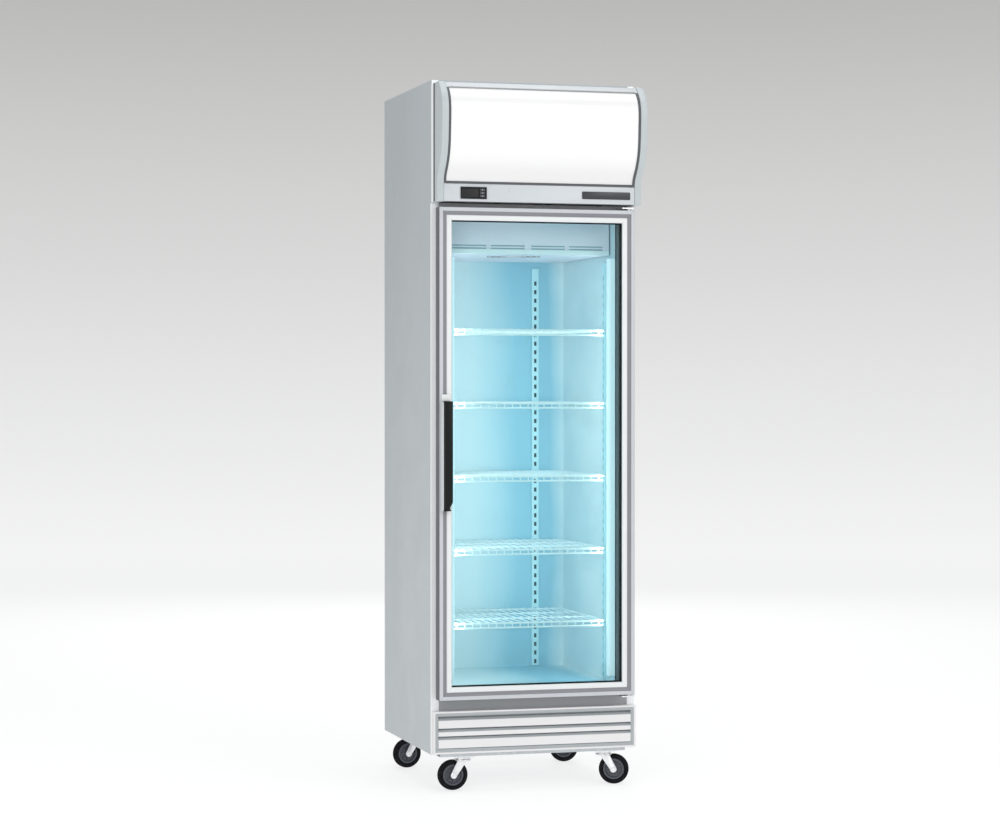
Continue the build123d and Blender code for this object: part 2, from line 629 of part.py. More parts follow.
handle_stile, hinge_stile, bottom_rail, top_rail = door_members()
keep("door_stiles", handle_stile, hinge_stile)
keep("door_rails", bottom_rail, top_rail)
keep("door_glass_panes", pane(9.0), pane(26.0))
keep("glass_spacer", door_ring(GLASS_EDGE + 15, GLASS_EDGE + 1, DOOR_BACK - 26, DOOR_BACK - 13))
keep("door_gasket", door_ring(31.0, 14.0, DOOR_BACK, FRONT - GAP))
keep("door_handle", door_handle())
keep("hinge_bushes", hinge_bush(DOOR_BOTTOM, DOOR_BOTTOM + BUSH_LENGTH),
     hinge_bush(DOOR_TOP - BUSH_LENGTH, DOOR_TOP))
keep("hinge_brackets",
     hinge_bracket(DOOR_BOTTOM - 8, DOOR_BOTTOM - 4, DOOR_BOTTOM - 4, DOOR_BOTTOM + 18)
     + tube((*PIVOT, DOOR_BOTTOM - 4), (*PIVOT, DOOR_BOTTOM - 0.5), 7.0, PIN_RADIUS - 0.5),
     hinge_bracket(DOOR_TOP + 5, DOOR_TOP + 9, DOOR_TOP - 18, DOOR_TOP + 5))


# Shelving ----------------------------------------------------------------------------------
STANDARD_BOTTOM = 305.0
STANDARD_TOP = 1552.0
STANDARD_WIDTH = 22.0
STANDARD_DEPTH = 6.0
REAR_STANDARD_X = 162.0
SIDE_STANDARD_Y = FRONT + 108.0
SLOT_HEIGHT = 13.0
SLOT_WIDTH = 8.0
SHELF_HALF_WIDTH = 246.0
SHELF_FRONT = FRONT + 56.0
SHELF_BACK = FRONT + 518.0
EDGE_WIRE = 3.0
DECK_WIRE = 1.6
DECK_WIRES = 19


def standard():
    """A slotted channel along Z, its open side on y = 0 and its face at y = -depth."""
    half = STANDARD_WIDTH / 2
    outside = block(-half, half, -STANDARD_DEPTH, 0, STANDARD_BOTTOM, STANDARD_TOP)
    hollow = block(-half + 1.2, half - 1.2, -STANDARD_DEPTH + 1.2, 1, STANDARD_BOTTOM - 1, STANDARD_TOP + 1)
    first = LOWEST_SHELF - 6 * SLOT_PITCH
    count = int((STANDARD_TOP - 20 - first) / SLOT_PITCH) + 1
    slots = [block(-SLOT_WIDTH / 2, SLOT_WIDTH / 2, -STANDARD_DEPTH - 1, -2, z, z + SLOT_HEIGHT)
             for z in [first + i * SLOT_PITCH - SLOT_HEIGHT / 2 for i in range(count)]]
    return outside - hollow - slots


def clip(z):
    """A shelf clip hooked into a slot, its ledge top at height z, standing out along -Y."""
    ledge = block(-1.8, 1.8, -STANDARD_DEPTH - 13, -STANDARD_DEPTH, z - 3, z)
    web = block(-1.8, 1.8, -STANDARD_DEPTH - 4, -STANDARD_DEPTH, z - 14, z)
    hook = block(-1.8, 1.8, -STANDARD_DEPTH, -STANDARD_DEPTH + 2.6, z - 5, z + 1)
    return fuse([ledge, web, hook])


def at_standards(shape):
    """One copy of a shape at each of the four standards."""
    rear = FRONT + CAVITY_DEPTH
    return [Pos(-REAR_STANDARD_X, rear, 0) * shape, Pos(REAR_STANDARD_X, rear, 0) * shape,
            Pos(-CAVITY_HALF_WIDTH, SIDE_STANDARD_Y, 0) * Rot(0, 0, 90) * shape,
            Pos(CAVITY_HALF_WIDTH, SIDE_STANDARD_Y, 0) * Rot(0, 0, -90) * shape]


def wire_shelf():
    """A welded wire shelf, the underside of its edge wire at z = 0."""
    w, y0, y1, r = SHELF_HALF_WIDTH - EDGE_WIRE, SHELF_FRONT + EDGE_WIRE, SHELF_BACK - EDGE_WIRE, EDGE_WIRE
    corner = 10.0
    rim = FilletPolyline((-w, y0, r), (w, y0, r), (w, y1, r), (-w, y1, r), close=True, radius=corner)
    section = Plane(origin=rim @ 0, z_dir=rim % 0) * Circle(r)
    frame = sweep(section, path=rim)
    cross = [rod((-w, y, r), (w, y, r), 2.4) for y in (y0 + 150, y0 + 310)]
    deck_z = 2 * r + 0.6
    pitch = 2 * w / (DECK_WIRES + 1)
    xs = [-w + pitch * (i + 1) for i in range(DECK_WIRES)]
    deck = [rod((x, y0 - 1.5, deck_z), (x, y1, deck_z), DECK_WIRE) for x in xs]
    lip_z = -10.0
    drops = [rod((x, y0 - 1.5, deck_z), (x, y0 - 1.5, lip_z), DECK_WIRE) for x in xs]
    knees = [Pos(x, y0 - 1.5, deck_z) * Sphere(DECK_WIRE) for x in xs]
    lip = rod((-w + corner, y0 - 1.5, lip_z), (w - corner, y0 - 1.5, lip_z), 2.4)
    return fuse([frame, *cross, lip, *deck, *drops, *knees])


keep("shelf_supports", *at_standards(standard()), *[s for z in SHELF_HEIGHTS for s in at_standards(clip(z))])
one_shelf = wire_shelf()
for number, z in enumerate(SHELF_HEIGHTS, 1):
    keep(f"shelf_{number}", Pos(0, 0, z) * one_shelf)


# Interior lamps ----------------------------------------------------------------------------
def interior_lamp():
    """The left light strip in the cavity's front corner."""
    x0, y0 = -CAVITY_HALF_WIDTH + GAP, FRONT + 16.0
    strip = block(x0, x0 + 20, y0, y0 + 22, CAVITY_FLOOR + 20, 1560)
    edges = strip.edges().filter_by(Axis.Z).group_by(Axis.X)[-1]
    return fillet(edges, 7.0)


keep("interior_lamps", *both_sides(interior_lamp()))


# Evaporator --------------------------------------------------------------------------------
COVER_FRONT = FRONT + 60.0
COVER_BACK = FRONT + CAVITY_DEPTH - GAP
COVER_BOTTOM = 1572.0
COVER_HALF = 252.0
FAN_CENTRE = (0.0, FRONT + 215.0)
EVAP_FAN_RADIUS = 82.0
FAN_FRAME_HALF = 90.0
FAN_FRAME_HEIGHT = 38.0
MOTOR_SHAFT = 4.0


def evaporator_cover():
    """The folded cover under the evaporator, with front slots, a fan opening and its guard rings."""
    y, z = COVER_FRONT + SHEET / 2, COVER_BOTTOM + SHEET / 2
    front_face = block(-COVER_HALF, COVER_HALF, COVER_FRONT, COVER_FRONT + SHEET,
                       COVER_BOTTOM, CAVITY_CEILING - GAP)
    underside = block(-COVER_HALF, COVER_HALF, COVER_FRONT, COVER_BACK, COVER_BOTTOM, COVER_BOTTOM + SHEET)
    end = block(-COVER_HALF, -COVER_HALF + SHEET, COVER_FRONT, COVER_BACK, COVER_BOTTOM, CAVITY_CEILING - GAP)
    shell = fuse([front_face, underside, *both_sides(end)])
    slots = [block(x, x + 104, y - 3, y + 3, z + 6 + 8 * row, z + 9.5 + 8 * row)
             for row in range(3) for x in (-232, -114, 10, 128)]
    opening = rod((*FAN_CENTRE, COVER_BOTTOM - 1), (*FAN_CENTRE, COVER_BOTTOM + 5), EVAP_FAN_RADIUS)
    rings = [tube((*FAN_CENTRE, COVER_BOTTOM), (*FAN_CENTRE, COVER_BOTTOM + SHEET), r, r - 2.5)
             for r in (22.0, 40.0, 58.0, 74.0)]
    x, y = FAN_CENTRE
    spoke = Box(2 * EVAP_FAN_RADIUS + 2, 3, SHEET)
    spokes = [Pos(x, y, COVER_BOTTOM + SHEET / 2) * Rot(0, 0, a) * spoke for a in (0, 60, 120)]
    return fuse([shell - slots - opening, *rings, *spokes])


def impeller(radius, hub_radius, depth, blades, pitch_angle):
    """A fan wheel about Z, centred at the origin."""
    hub = Cylinder(hub_radius, depth)
    length = radius - hub_radius + 6
    blade = Pos(hub_radius - 3 + length / 2, 0, 0) * Rot(pitch_angle, 0, 0) * Box(length, radius * 0.55, 1.6)
    wheel = fuse([hub, *[Rot(0, 0, 360 / blades * i) * blade for i in range(blades)]])
    return wheel & Cylinder(radius, depth * 4)


FAN_Z = COVER_BOTTOM + SHEET + GAP + FAN_FRAME_HEIGHT / 2


def evaporator_fan_frame():
    """A square fan frame with a motor on three struts behind the wheel."""
    x, y = FAN_CENTRE
    half, z0, z1 = FAN_FRAME_HALF, FAN_Z - FAN_FRAME_HEIGHT / 2, FAN_Z + FAN_FRAME_HEIGHT / 2
    frame = block(x - half, x + half, y - half, y + half, z0, z1)
    frame -= rod((x, y, z0 - 1), (x, y, z1 + 1), EVAP_FAN_RADIUS + 3)
    motor = rod((x, y, z1 - 6), (x, y, z1 + 20), 30.0)
    bore = rod((x, y, z1 - 10), (x, y, z1 + 8), MOTOR_SHAFT + 0.08)
    strut = Pos(half / 2 + 5, 0, 0) * Box(half, 8, 6)
    struts = [Pos(x, y, z1 - 3) * Rot(0, 0, a) * strut for a in (30, 150, 270)]
    return fuse([frame, motor, *struts]) - bore


def finned_coil(width, depth, height, fins, rows, columns):
    """A fin pack on straight tubes along X, one corner at the origin."""
    pitch = (width - 0.8) / (fins - 1)
    plates = [block(i * pitch, i * pitch + 0.8, 0, depth, 0, height) for i in range(fins)]
    places = [(depth * (j + 0.5) / columns, height * (k + 0.5) / rows)
              for j in range(columns) for k in range(rows)]
    tubes = [rod((-8, y, z), (width + 8, y, z), 4.0) for y, z in places]
    return fuse([*tubes, *plates])


def evaporator_coil():
    """The cold coil above the fan opening."""
    return Pos(-200, FRONT + 330, COVER_BOTTOM + 22) * finned_coil(400, 140, 58, 24, 2, 3)


def drain_tray():
    """The tray under the coil, with a spout to the back."""
    y0, y1, z0 = FRONT + 322.0, FRONT + 512.0, COVER_BOTTOM + SHEET + GAP
    tray = block(-240, 240, y0, y1, z0, z0 + 16) - block(-238.5, 238.5, y0 + 1.5, y1 - 1.5, z0 + 1.5, z0 + 17)
    spout = rod((DRAIN_X, y1 - 0.75, DRAIN_STUB_Z), (DRAIN_X, FRONT + CAVITY_DEPTH - 3, DRAIN_STUB_Z), 5.0)
    bore = rod((DRAIN_X, y1 - 5, DRAIN_STUB_Z), (DRAIN_X, FRONT + CAVITY_DEPTH, DRAIN_STUB_Z), 3.5)
    return tray + spout - bore


def drain_pipe():
    """The condensate pipe inside the back insulation, down to the drip tray."""
    return bent_bar(DRAIN_ROUTE, 6.0, 12.0) - bent_bar(DRAIN_ROUTE, 4.5, 12.0)


keep("evaporator_cover", evaporator_cover())
keep("evaporator_fan_frame", evaporator_fan_frame())
fan_wheel = impeller(EVAP_FAN_RADIUS - 3, 28.0, 14.0, 5, 30)
shaft = rod((*FAN_CENTRE, FAN_Z), (*FAN_CENTRE, FAN_Z + FAN_FRAME_HEIGHT / 2 + 6), MOTOR_SHAFT)
keep("evaporator_fan", Pos(*FAN_CENTRE, FAN_Z - 4) * fan_wheel + shaft)
keep("evaporator_coil", evaporator_coil())
keep("condensate_drain", drain_tray(), drain_pipe())


# Condensing unit ---------------------------------------------------------------------------
DECK = FOAM_TOP + GAP        # the condensing unit stands on the insulated ceiling
COMPRESSOR = (165.0, FRONT + 180.0)
CONDENSER_FAN_CENTRE = (-90.0, FRONT + 395.0, DECK + 160.0)
CONDENSER_FAN_RADIUS = 112.0
COIL_LIFT = 8.0


def compressor():
    """A hermetic compressor: a welded shell with a domed top, terminal box and feet plate."""
    x, y = COMPRESSOR
    shell = rod((x, y, DECK + 22), (x, y, DECK + 190), 78.0)
    rim = shell.edges().filter_by(GeomType.CIRCLE)
    shell = fillet(rim, 34.0)
    seam = rod((x, y, DECK + 100), (x, y, DECK + 108), 82.0)
    feet = block(x - 95, x + 95, y - 62, y + 62, DECK + 16, DECK + 19)
    saddle = rod((x, y, DECK + 17), (x, y, DECK + 40), 52.0)
    terminals = block(x - 112, x - 60, y - 28, y + 28, DECK + 62, DECK + 122)
    feet = fillet(feet.edges().filter_by(Axis.Z), 14.0)
    holes = [rod((x + i * 80, y + j * 48, DECK + 10), (x + i * 80, y + j * 48, DECK + 25), 5.2)
             for i in (-1, 1) for j in (-1, 1)]
    return fuse([shell, seam, feet, saddle, terminals]) - holes


def compressor_grommet(x, y):
    """A rubber foot with a waist that holds the feet plate."""
    foot = rod((x, y, DECK), (x, y, DECK + 15.8), 11.0)
    return fuse([foot, rod((x, y, DECK + 15), (x, y, DECK + 24), 5.0)])


def condenser_shroud():
    """The plate that ducts the fan's air through the condenser, with the motor on a bracket."""
    x, y, z = CONDENSER_FAN_CENTRE
    y0 = y - 6
    plate = block(x - 150, x + 150, y0, y0 + 1.5, DECK, DECK + 300)
    plate -= rod((x, y0 - 1, z), (x, y0 + 5, z), CONDENSER_FAN_RADIUS + 5)
    collar = tube((x, y0, z), (x, y0 + 30, z), CONDENSER_FAN_RADIUS + 6.5, CONDENSER_FAN_RADIUS + 5)
    motor = rod((x, y - 75, z), (x, y - 22, z), 38.0)
    bore = rod((x, y - 45, z), (x, y - 20, z), MOTOR_SHAFT + 0.08)
    foot = block(x - 25, x + 25, y - 72, y - 26, DECK, DECK + 2)
    leg = block(x - 25, x + 25, y - 52, y - 48, DECK, z)
    strap = block(x - 25, x + 25, y - 52, y - 5, DECK, DECK + 2)
    return fuse([plate, collar, motor, foot, leg, strap]) - bore


def condenser_fan():
    """The condenser's fan wheel on its motor shaft, blowing to the back."""
    x, y, z = CONDENSER_FAN_CENTRE
    wheel = Pos(x, y + 8, z) * Rot(90, 0, 0) * impeller(CONDENSER_FAN_RADIUS, 30.0, 18.0, 5, 28)
    return wheel + rod((x, y - 40, z), (x, y + 8, z), MOTOR_SHAFT)


def refrigerant_pipes():
    """The discharge line to the condenser and the suction line from the evaporator."""
    x, y = COMPRESSOR
    z = DECK + COIL_LIFT + 210
    joint = (CONDENSER_FAN_CENTRE[0] + 148, BACK_PANEL - 97)
    discharge = bent_bar([(x - 20, y + 70, DECK + 70), (x - 20, y + 120, DECK + 70), (x - 20, y + 120, z),
                          (x - 50, joint[1], z), (*joint, z)], 3.2, 9.0)
    suction = bent_bar([(SUCTION[0], y + 60, DECK + 84), (*SUCTION, DECK + 84),
                        (*SUCTION, CAVITY_CEILING - 30)],
                       4.8, 11.0)
    return [pipe - compressor() for pipe in (discharge, suction)]


def electrical_box():
    """The terminal box behind the cord gland."""
    x, z = GLAND_PLACE
    y1 = BACK_PANEL - 17.0
    box = block(x - 30, x + 20, y1 - 46, y1, z - 50, z + 60)
    inside = block(x - 28, x + 18, y1 - 44, y1 - 2, z - 48, z + 58)
    return box - inside - rod((x, y1 - 5, z), (x, y1 + 1, z), 8.2)


def cord_gland():
    """The bush that the supply cord passes through, with a flange on each side of the grille."""
    x, z = GLAND_PLACE
    barrel = rod((x, BACK_PANEL - 9, z), (x, BACK_PANEL + 6.5, z), 8.0)
    flange = rod((x, BACK_PANEL, z), (x, BACK_PANEL + 4, z), 13.0)
    bore = rod((x, BACK_PANEL - 10, z), (x, BACK_PANEL + 8, z), GLAND_BORE)
    return barrel + flange - bore


cx, cy = COMPRESSOR
grommets = [compressor_grommet(cx + i * 80, cy + j * 48) for i in (-1, 1) for j in (-1, 1)]
keep("compressor", compressor(), *grommets)
keep("condenser_shroud", condenser_shroud())
keep("condenser_fan", condenser_fan())
condenser = finned_coil(280, 60, 280, 20, 6, 2)
keep("condenser_coil", Pos(CONDENSER_FAN_CENTRE[0] - 140, BACK_PANEL - 112, DECK + COIL_LIFT) * condenser)
keep("refrigerant_pipes", *refrigerant_pipes())
keep("electrical_box", electrical_box())
keep("cord_gland", cord_gland())


# Files -------------------------------------------------------------------------------------
os.makedirs("parts", exist_ok=True)
for name, shape in nodes.items():
    export_step(shape, f"parts/{name}.step")
print(len(nodes), "nodes written")
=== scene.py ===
"""Looks of the glass door merchandiser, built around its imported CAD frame. Metres."""
import json
from math import cos, pi, radians, sin, tan

import bmesh
import bpy
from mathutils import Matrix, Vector


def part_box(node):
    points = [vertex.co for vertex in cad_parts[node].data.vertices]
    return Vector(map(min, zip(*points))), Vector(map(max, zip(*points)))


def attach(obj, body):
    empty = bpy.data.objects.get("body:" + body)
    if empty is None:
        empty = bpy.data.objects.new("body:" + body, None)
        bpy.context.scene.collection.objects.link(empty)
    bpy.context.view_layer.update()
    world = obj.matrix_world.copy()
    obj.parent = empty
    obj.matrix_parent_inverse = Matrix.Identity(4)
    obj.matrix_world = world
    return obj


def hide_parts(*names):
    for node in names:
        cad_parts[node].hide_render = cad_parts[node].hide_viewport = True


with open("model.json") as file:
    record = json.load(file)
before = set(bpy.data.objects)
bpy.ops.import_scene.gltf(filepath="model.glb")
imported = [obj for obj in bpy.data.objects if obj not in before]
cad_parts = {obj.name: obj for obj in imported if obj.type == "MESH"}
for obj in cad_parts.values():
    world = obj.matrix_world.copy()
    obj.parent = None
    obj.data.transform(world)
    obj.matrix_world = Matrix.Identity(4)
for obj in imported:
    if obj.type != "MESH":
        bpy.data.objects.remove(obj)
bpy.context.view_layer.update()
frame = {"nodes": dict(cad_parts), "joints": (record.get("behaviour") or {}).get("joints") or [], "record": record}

NODES = frame["nodes"]
JOINTS = {j["name"]: j for j in frame["joints"]}
CASTERS = ("front_left", "front_right", "rear_left", "rear_right")
SIDES = ((-1, "left"), (1, "right"))


# Places read from the CAD ------------------------------------------------------------------
MM = 0.001
UP = Vector((0, 0, 1))
BOXES = {name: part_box(name) for name in NODES}
BODY_NODES = frame["record"]["behaviour"]["bodies"]
BODY_OF = {node: body for body, nodes in BODY_NODES.items() for node in nodes}


def low(node):
    """The corner of a CAD node's box with the smallest x, y and z."""
    return BOXES[node][0]


def high(node):
    """The corner of a CAD node's box with the largest x, y and z."""
    return BOXES[node][1]


def mm(points):
    """Points given in millimetres, in metres."""
    return [tuple(c * MM for c in point) for point in points]


FRONT = low("side_panels").y             # the cabinet's front edge, behind the door and the canopy


# Node helpers ------------------------------------------------------------------------------
class Shade:
    """Builds one node material; its textures follow the object's own coordinates."""

    def __init__(self, name):
        self.mat = bpy.data.materials.new(name)
        self.mat.use_nodes = True
        self.tree = self.mat.node_tree
        self.tree.nodes.clear()
        self.out = self.add("ShaderNodeOutputMaterial")
        self.coords = self.add("ShaderNodeTexCoord").outputs["Object"]

    def add(self, kind, **props):
        node = self.tree.nodes.new(kind)
        for key, value in props.items():
            setattr(node, key, value)
        return node

    def link(self, a, b):
        self.tree.links.new(a, b)

    def stretch(self, scale):
        """The object's coordinates, scaled differently along each axis."""
        node = self.add("ShaderNodeMapping")
        node.inputs["Scale"].default_value = scale
        self.link(self.coords, node.inputs["Vector"])
        return node.outputs["Vector"]

    def noise(self, scale, detail=2.0, rough=0.5, vector=None):
        node = self.add("ShaderNodeTexNoise")
        node.inputs["Scale"].default_value = scale
        node.inputs["Detail"].default_value = detail
        node.inputs["Roughness"].default_value = rough
        self.link(vector or self.coords, node.inputs["Vector"])
        return node.outputs["Fac"]

    def cells(self, scale):
        """A random colour for each of many cells."""
        node = self.add("ShaderNodeTexVoronoi", feature="F1")
        node.inputs["Scale"].default_value = scale
        self.link(self.coords, node.inputs["Vector"])
        return node.outputs["Color"]

    def along(self, axis):
        """The object's coordinate along one axis."""
        node = self.add("ShaderNodeSeparateXYZ")
        self.link(self.coords, node.inputs[0])
        return node.outputs[axis]

    def ramp(self, fac, stops):
        """A colour chosen by a value; stops are (value, colour) in rising order."""
        node = self.add("ShaderNodeValToRGB")
        ramp = node.color_ramp
        while len(ramp.elements) < len(stops):
            ramp.elements.new(0.5)
        for element, (at, color) in zip(ramp.elements, stops):
            element.position = at
            element.color = (*color, 1.0)
        self.link(fac, node.inputs["Fac"])
        return node.outputs["Color"]

    def span(self, fac, a, b, to_a, to_b):
        """The range from a to b moved to the range from to_a to to_b, and held at its ends."""
        node = self.add("ShaderNodeMapRange")
        for key, value in (("From Min", a), ("From Max", b), ("To Min", to_a), ("To Max", to_b)):
            node.inputs[key].default_value = value
        self.link(fac, node.inputs["Value"])
        return node.outputs["Result"]

    def bump(self, height, strength, distance):
        node = self.add("ShaderNodeBump")
        node.inputs["Strength"].default_value = strength
        node.inputs["Distance"].default_value = distance
        self.link(height, node.inputs["Height"])
        return node.outputs["Normal"]

    def mixed(self, share, first, second):
        """Two shaders, with the second one's share from 0 to 1."""
        node = self.add("ShaderNodeMixShader")
        for index, output in enumerate((share, first, second)):
            self.link(output, node.inputs[index])
        return node.outputs[0]

    def principled(self, color, rough, normal, **sockets):
        """The finish itself; the colour is linked, and every other value is linked or a constant."""
        node = self.add("ShaderNodeBsdfPrincipled")
        values = {"Base Color": color, "Roughness": rough, "Normal": normal}
        for key, value in sockets.items():
            values[key.replace("_", " ").title().replace("Ior", "IOR")] = value
        for name, value in values.items():
            if isinstance(value, bpy.types.NodeSocket):
                self.link(value, node.inputs[name])
            else:
                node.inputs[name].default_value = (*value, 1.0) if isinstance(value, tuple) else value
        self.link(node.outputs[0], self.out.inputs["Surface"])
        return node


def tint(color, amount):
    """The colour made lighter (above 1) or darker (below 1)."""
    return tuple(min(1.0, c * amount) for c in color)


def paint(name, color, rough=0.35, spread=0.035, peel=0.12):
    """Sprayed or powder-coated metal: faint tone drift, orange peel and uneven gloss."""
    s = Shade(name)
    drift = s.noise(1.6, 4.0, 0.6)
    fine = s.noise(900.0, 2.0, 0.5)
    color_out = s.ramp(drift, [(0.3, tint(color, 1 - spread)), (0.7, tint(color, 1 + spread))])
    gloss = s.span(s.noise(7.0, 5.0, 0.65), 0.3, 0.7, rough - 0.05, rough + 0.07)
    s.principled(color_out, gloss, s.bump(fine, peel, 0.0004))
    return s.mat


def plastic(name, color, rough=0.45, grain=0.25, spread=0.05, scale=1500.0, **sockets):
    """Moulded plastic: a fine spark-eroded grain and a slight tone drift."""
    s = Shade(name)
    speck = s.noise(scale, 3.0, 0.6)
    drift = s.noise(14.0, 4.0, 0.55)
    color_out = s.ramp(drift, [(0.3, tint(color, 1 - spread)), (0.7, tint(color, 1 + spread))])
    gloss = s.span(speck, 0.3, 0.7, rough - 0.06, rough + 0.08)
    s.principled(color_out, gloss, s.bump(speck, grain, 0.0003), **sockets)
    return s.mat


def metal(name, color, rough, grain, spread=0.08, strength=0.12):
    """Bare or plated metal with drawn or brushed streaks along one axis."""
    s = Shade(name)
    streak = s.noise(1.0, 4.0, 0.6, s.stretch(grain))
    cloud = s.noise(22.0, 4.0, 0.6)
    color_out = s.ramp(streak, [(0.3, tint(color, 1 - spread)), (0.7, tint(color, 1 + spread))])
    gloss = s.span(cloud, 0.3, 0.7, rough - 0.06, rough + 0.1)
    s.principled(color_out, gloss, s.bump(streak, strength, 0.0002), metallic=1.0)
    return s.mat


def galvanised(name, color, rough, crystals):
    """Hot-dip zinc: a spangle of many greys, its crystals so many to the metre, and a dull film."""
    s = Shade(name)
    split = s.add("ShaderNodeSeparateColor")
    s.link(s.cells(crystals), split.inputs[0])
    haze = s.noise(9.0, 5.0, 0.65)
    color_out = s.ramp(split.outputs[0], [(0.0, tint(color, 0.93)), (1.0, tint(color, 1.05))])
    gloss = s.span(split.outputs[1], 0.0, 1.0, rough - 0.05, rough + 0.07)
    s.principled(color_out, gloss, s.bump(haze, 0.05, 0.001), metallic=0.85)
    return s.mat


def rubber(name, color, rough, **sockets):
    """Dull rubber with fine pits and a faint dust."""
    s = Shade(name)
    pits = s.noise(1200.0, 3.0, 0.6)
    dust = s.noise(60.0, 6.0, 0.7)
    stops = ((0.35, 0.0), (0.62, 0.012), (0.85, 0.035))
    color_out = s.ramp(dust, [(at, tuple(c + lift for c in color)) for at, lift in stops])
    gloss = s.span(dust, 0.3, 0.8, rough - 0.12, rough + 0.1)
    s.principled(color_out, gloss, s.bump(pits, 0.3, 0.0003), **sockets)
    return s.mat


def clear_glass(name, color, film):
    """Clear sheet: a faint film over it, and a reflection that grows as the view slants, up to a limit."""
    s = Shade(name)
    clear = s.add("ShaderNodeBsdfTransparent")
    clear.inputs["Color"].default_value = (*color, 1.0)
    gloss = s.add("ShaderNodeBsdfGlossy")
    gloss.inputs["Roughness"].default_value = 0.02
    gloss.inputs["Color"].default_value = (0.92, 0.97, 0.97, 1.0)
    fresnel = s.add("ShaderNodeFresnel")
    fresnel.inputs["IOR"].default_value = 1.33
    haze = s.add("ShaderNodeBsdfDiffuse")
    haze.inputs["Color"].default_value = (*film, 1.0)
    smear = s.span(s.noise(5.0, 6.0, 0.65), 0.55, 0.85, 0.0, 0.035)
    reflection = s.span(fresnel.outputs[0], 0.0, 0.5, 0.0, 0.16)
    filmed = s.mixed(smear, clear.outputs[0], haze.outputs[0])
    s.link(s.mixed(reflection, filmed, gloss.outputs[0]), s.out.inputs["Surface"])
    return s.mat


def glowing(name, color, light, strength, rough, banding=None):
    """A lit diffuser. With banding, its light is strongest at a height and fades over a reach from it."""
    s = Shade(name)
    speck = s.noise(700.0, 2.0, 0.5)
    node = s.principled(s.ramp(s.noise(3.0, 3.0), [(0.3, tint(color, 0.97)), (0.7, color)]), rough,
                        s.bump(speck, 0.05, 0.0002), emission_color=light)
    if banding is None:
        node.inputs["Emission Strength"].default_value = strength
    else:
        height, reach = banding
        shift = s.add("ShaderNodeMath", operation="SUBTRACT")
        shift.inputs[1].default_value = height
        away = s.add("ShaderNodeMath", operation="ABSOLUTE")
        s.link(s.along("Z"), shift.inputs[0])
        s.link(shift.outputs[0], away.inputs[0])
        fade = s.span(away.outputs[0], 0.0, reach, strength, strength * 0.2)
        s.link(fade, node.inputs["Emission Strength"])
    return s.mat


def liner_painted_light_and_shade():
    """The liner's pale paint with painted light and shade: its cyan deeper towards the right of the back wall,
    where the light falls off, and pale again on the right side wall.
    """
    s = Shade("liner_paint_painted_light_and_shade")
    drift = s.noise(2.2, 3.0, 0.5)
    blur = s.add("ShaderNodeMath", operation="MULTIPLY_ADD")
    blur.inputs[1].default_value = 0.10
    s.link(drift, blur.inputs[0])
    s.link(s.along("X"), blur.inputs[2])
    across = s.span(blur.outputs[0], -0.20, 0.32, 0.0, 1.0)
    # painted light and shade across X: pale on the lit left of the back wall, deeper cyan to its right, pale on
    # the lit right side wall
    color = s.ramp(across, [(0.0, (0.86, 0.885, 0.89)), (0.40, (0.70, 0.82, 0.85)),
                            (0.66, (0.33, 0.60, 0.72)), (0.88, (0.34, 0.60, 0.72)),
                            (1.0, (0.86, 0.92, 0.935))])
    s.principled(color, s.span(drift, 0.3, 0.7, 0.36, 0.46), s.bump(s.noise(900.0), 0.08, 0.0004))
    return s.mat


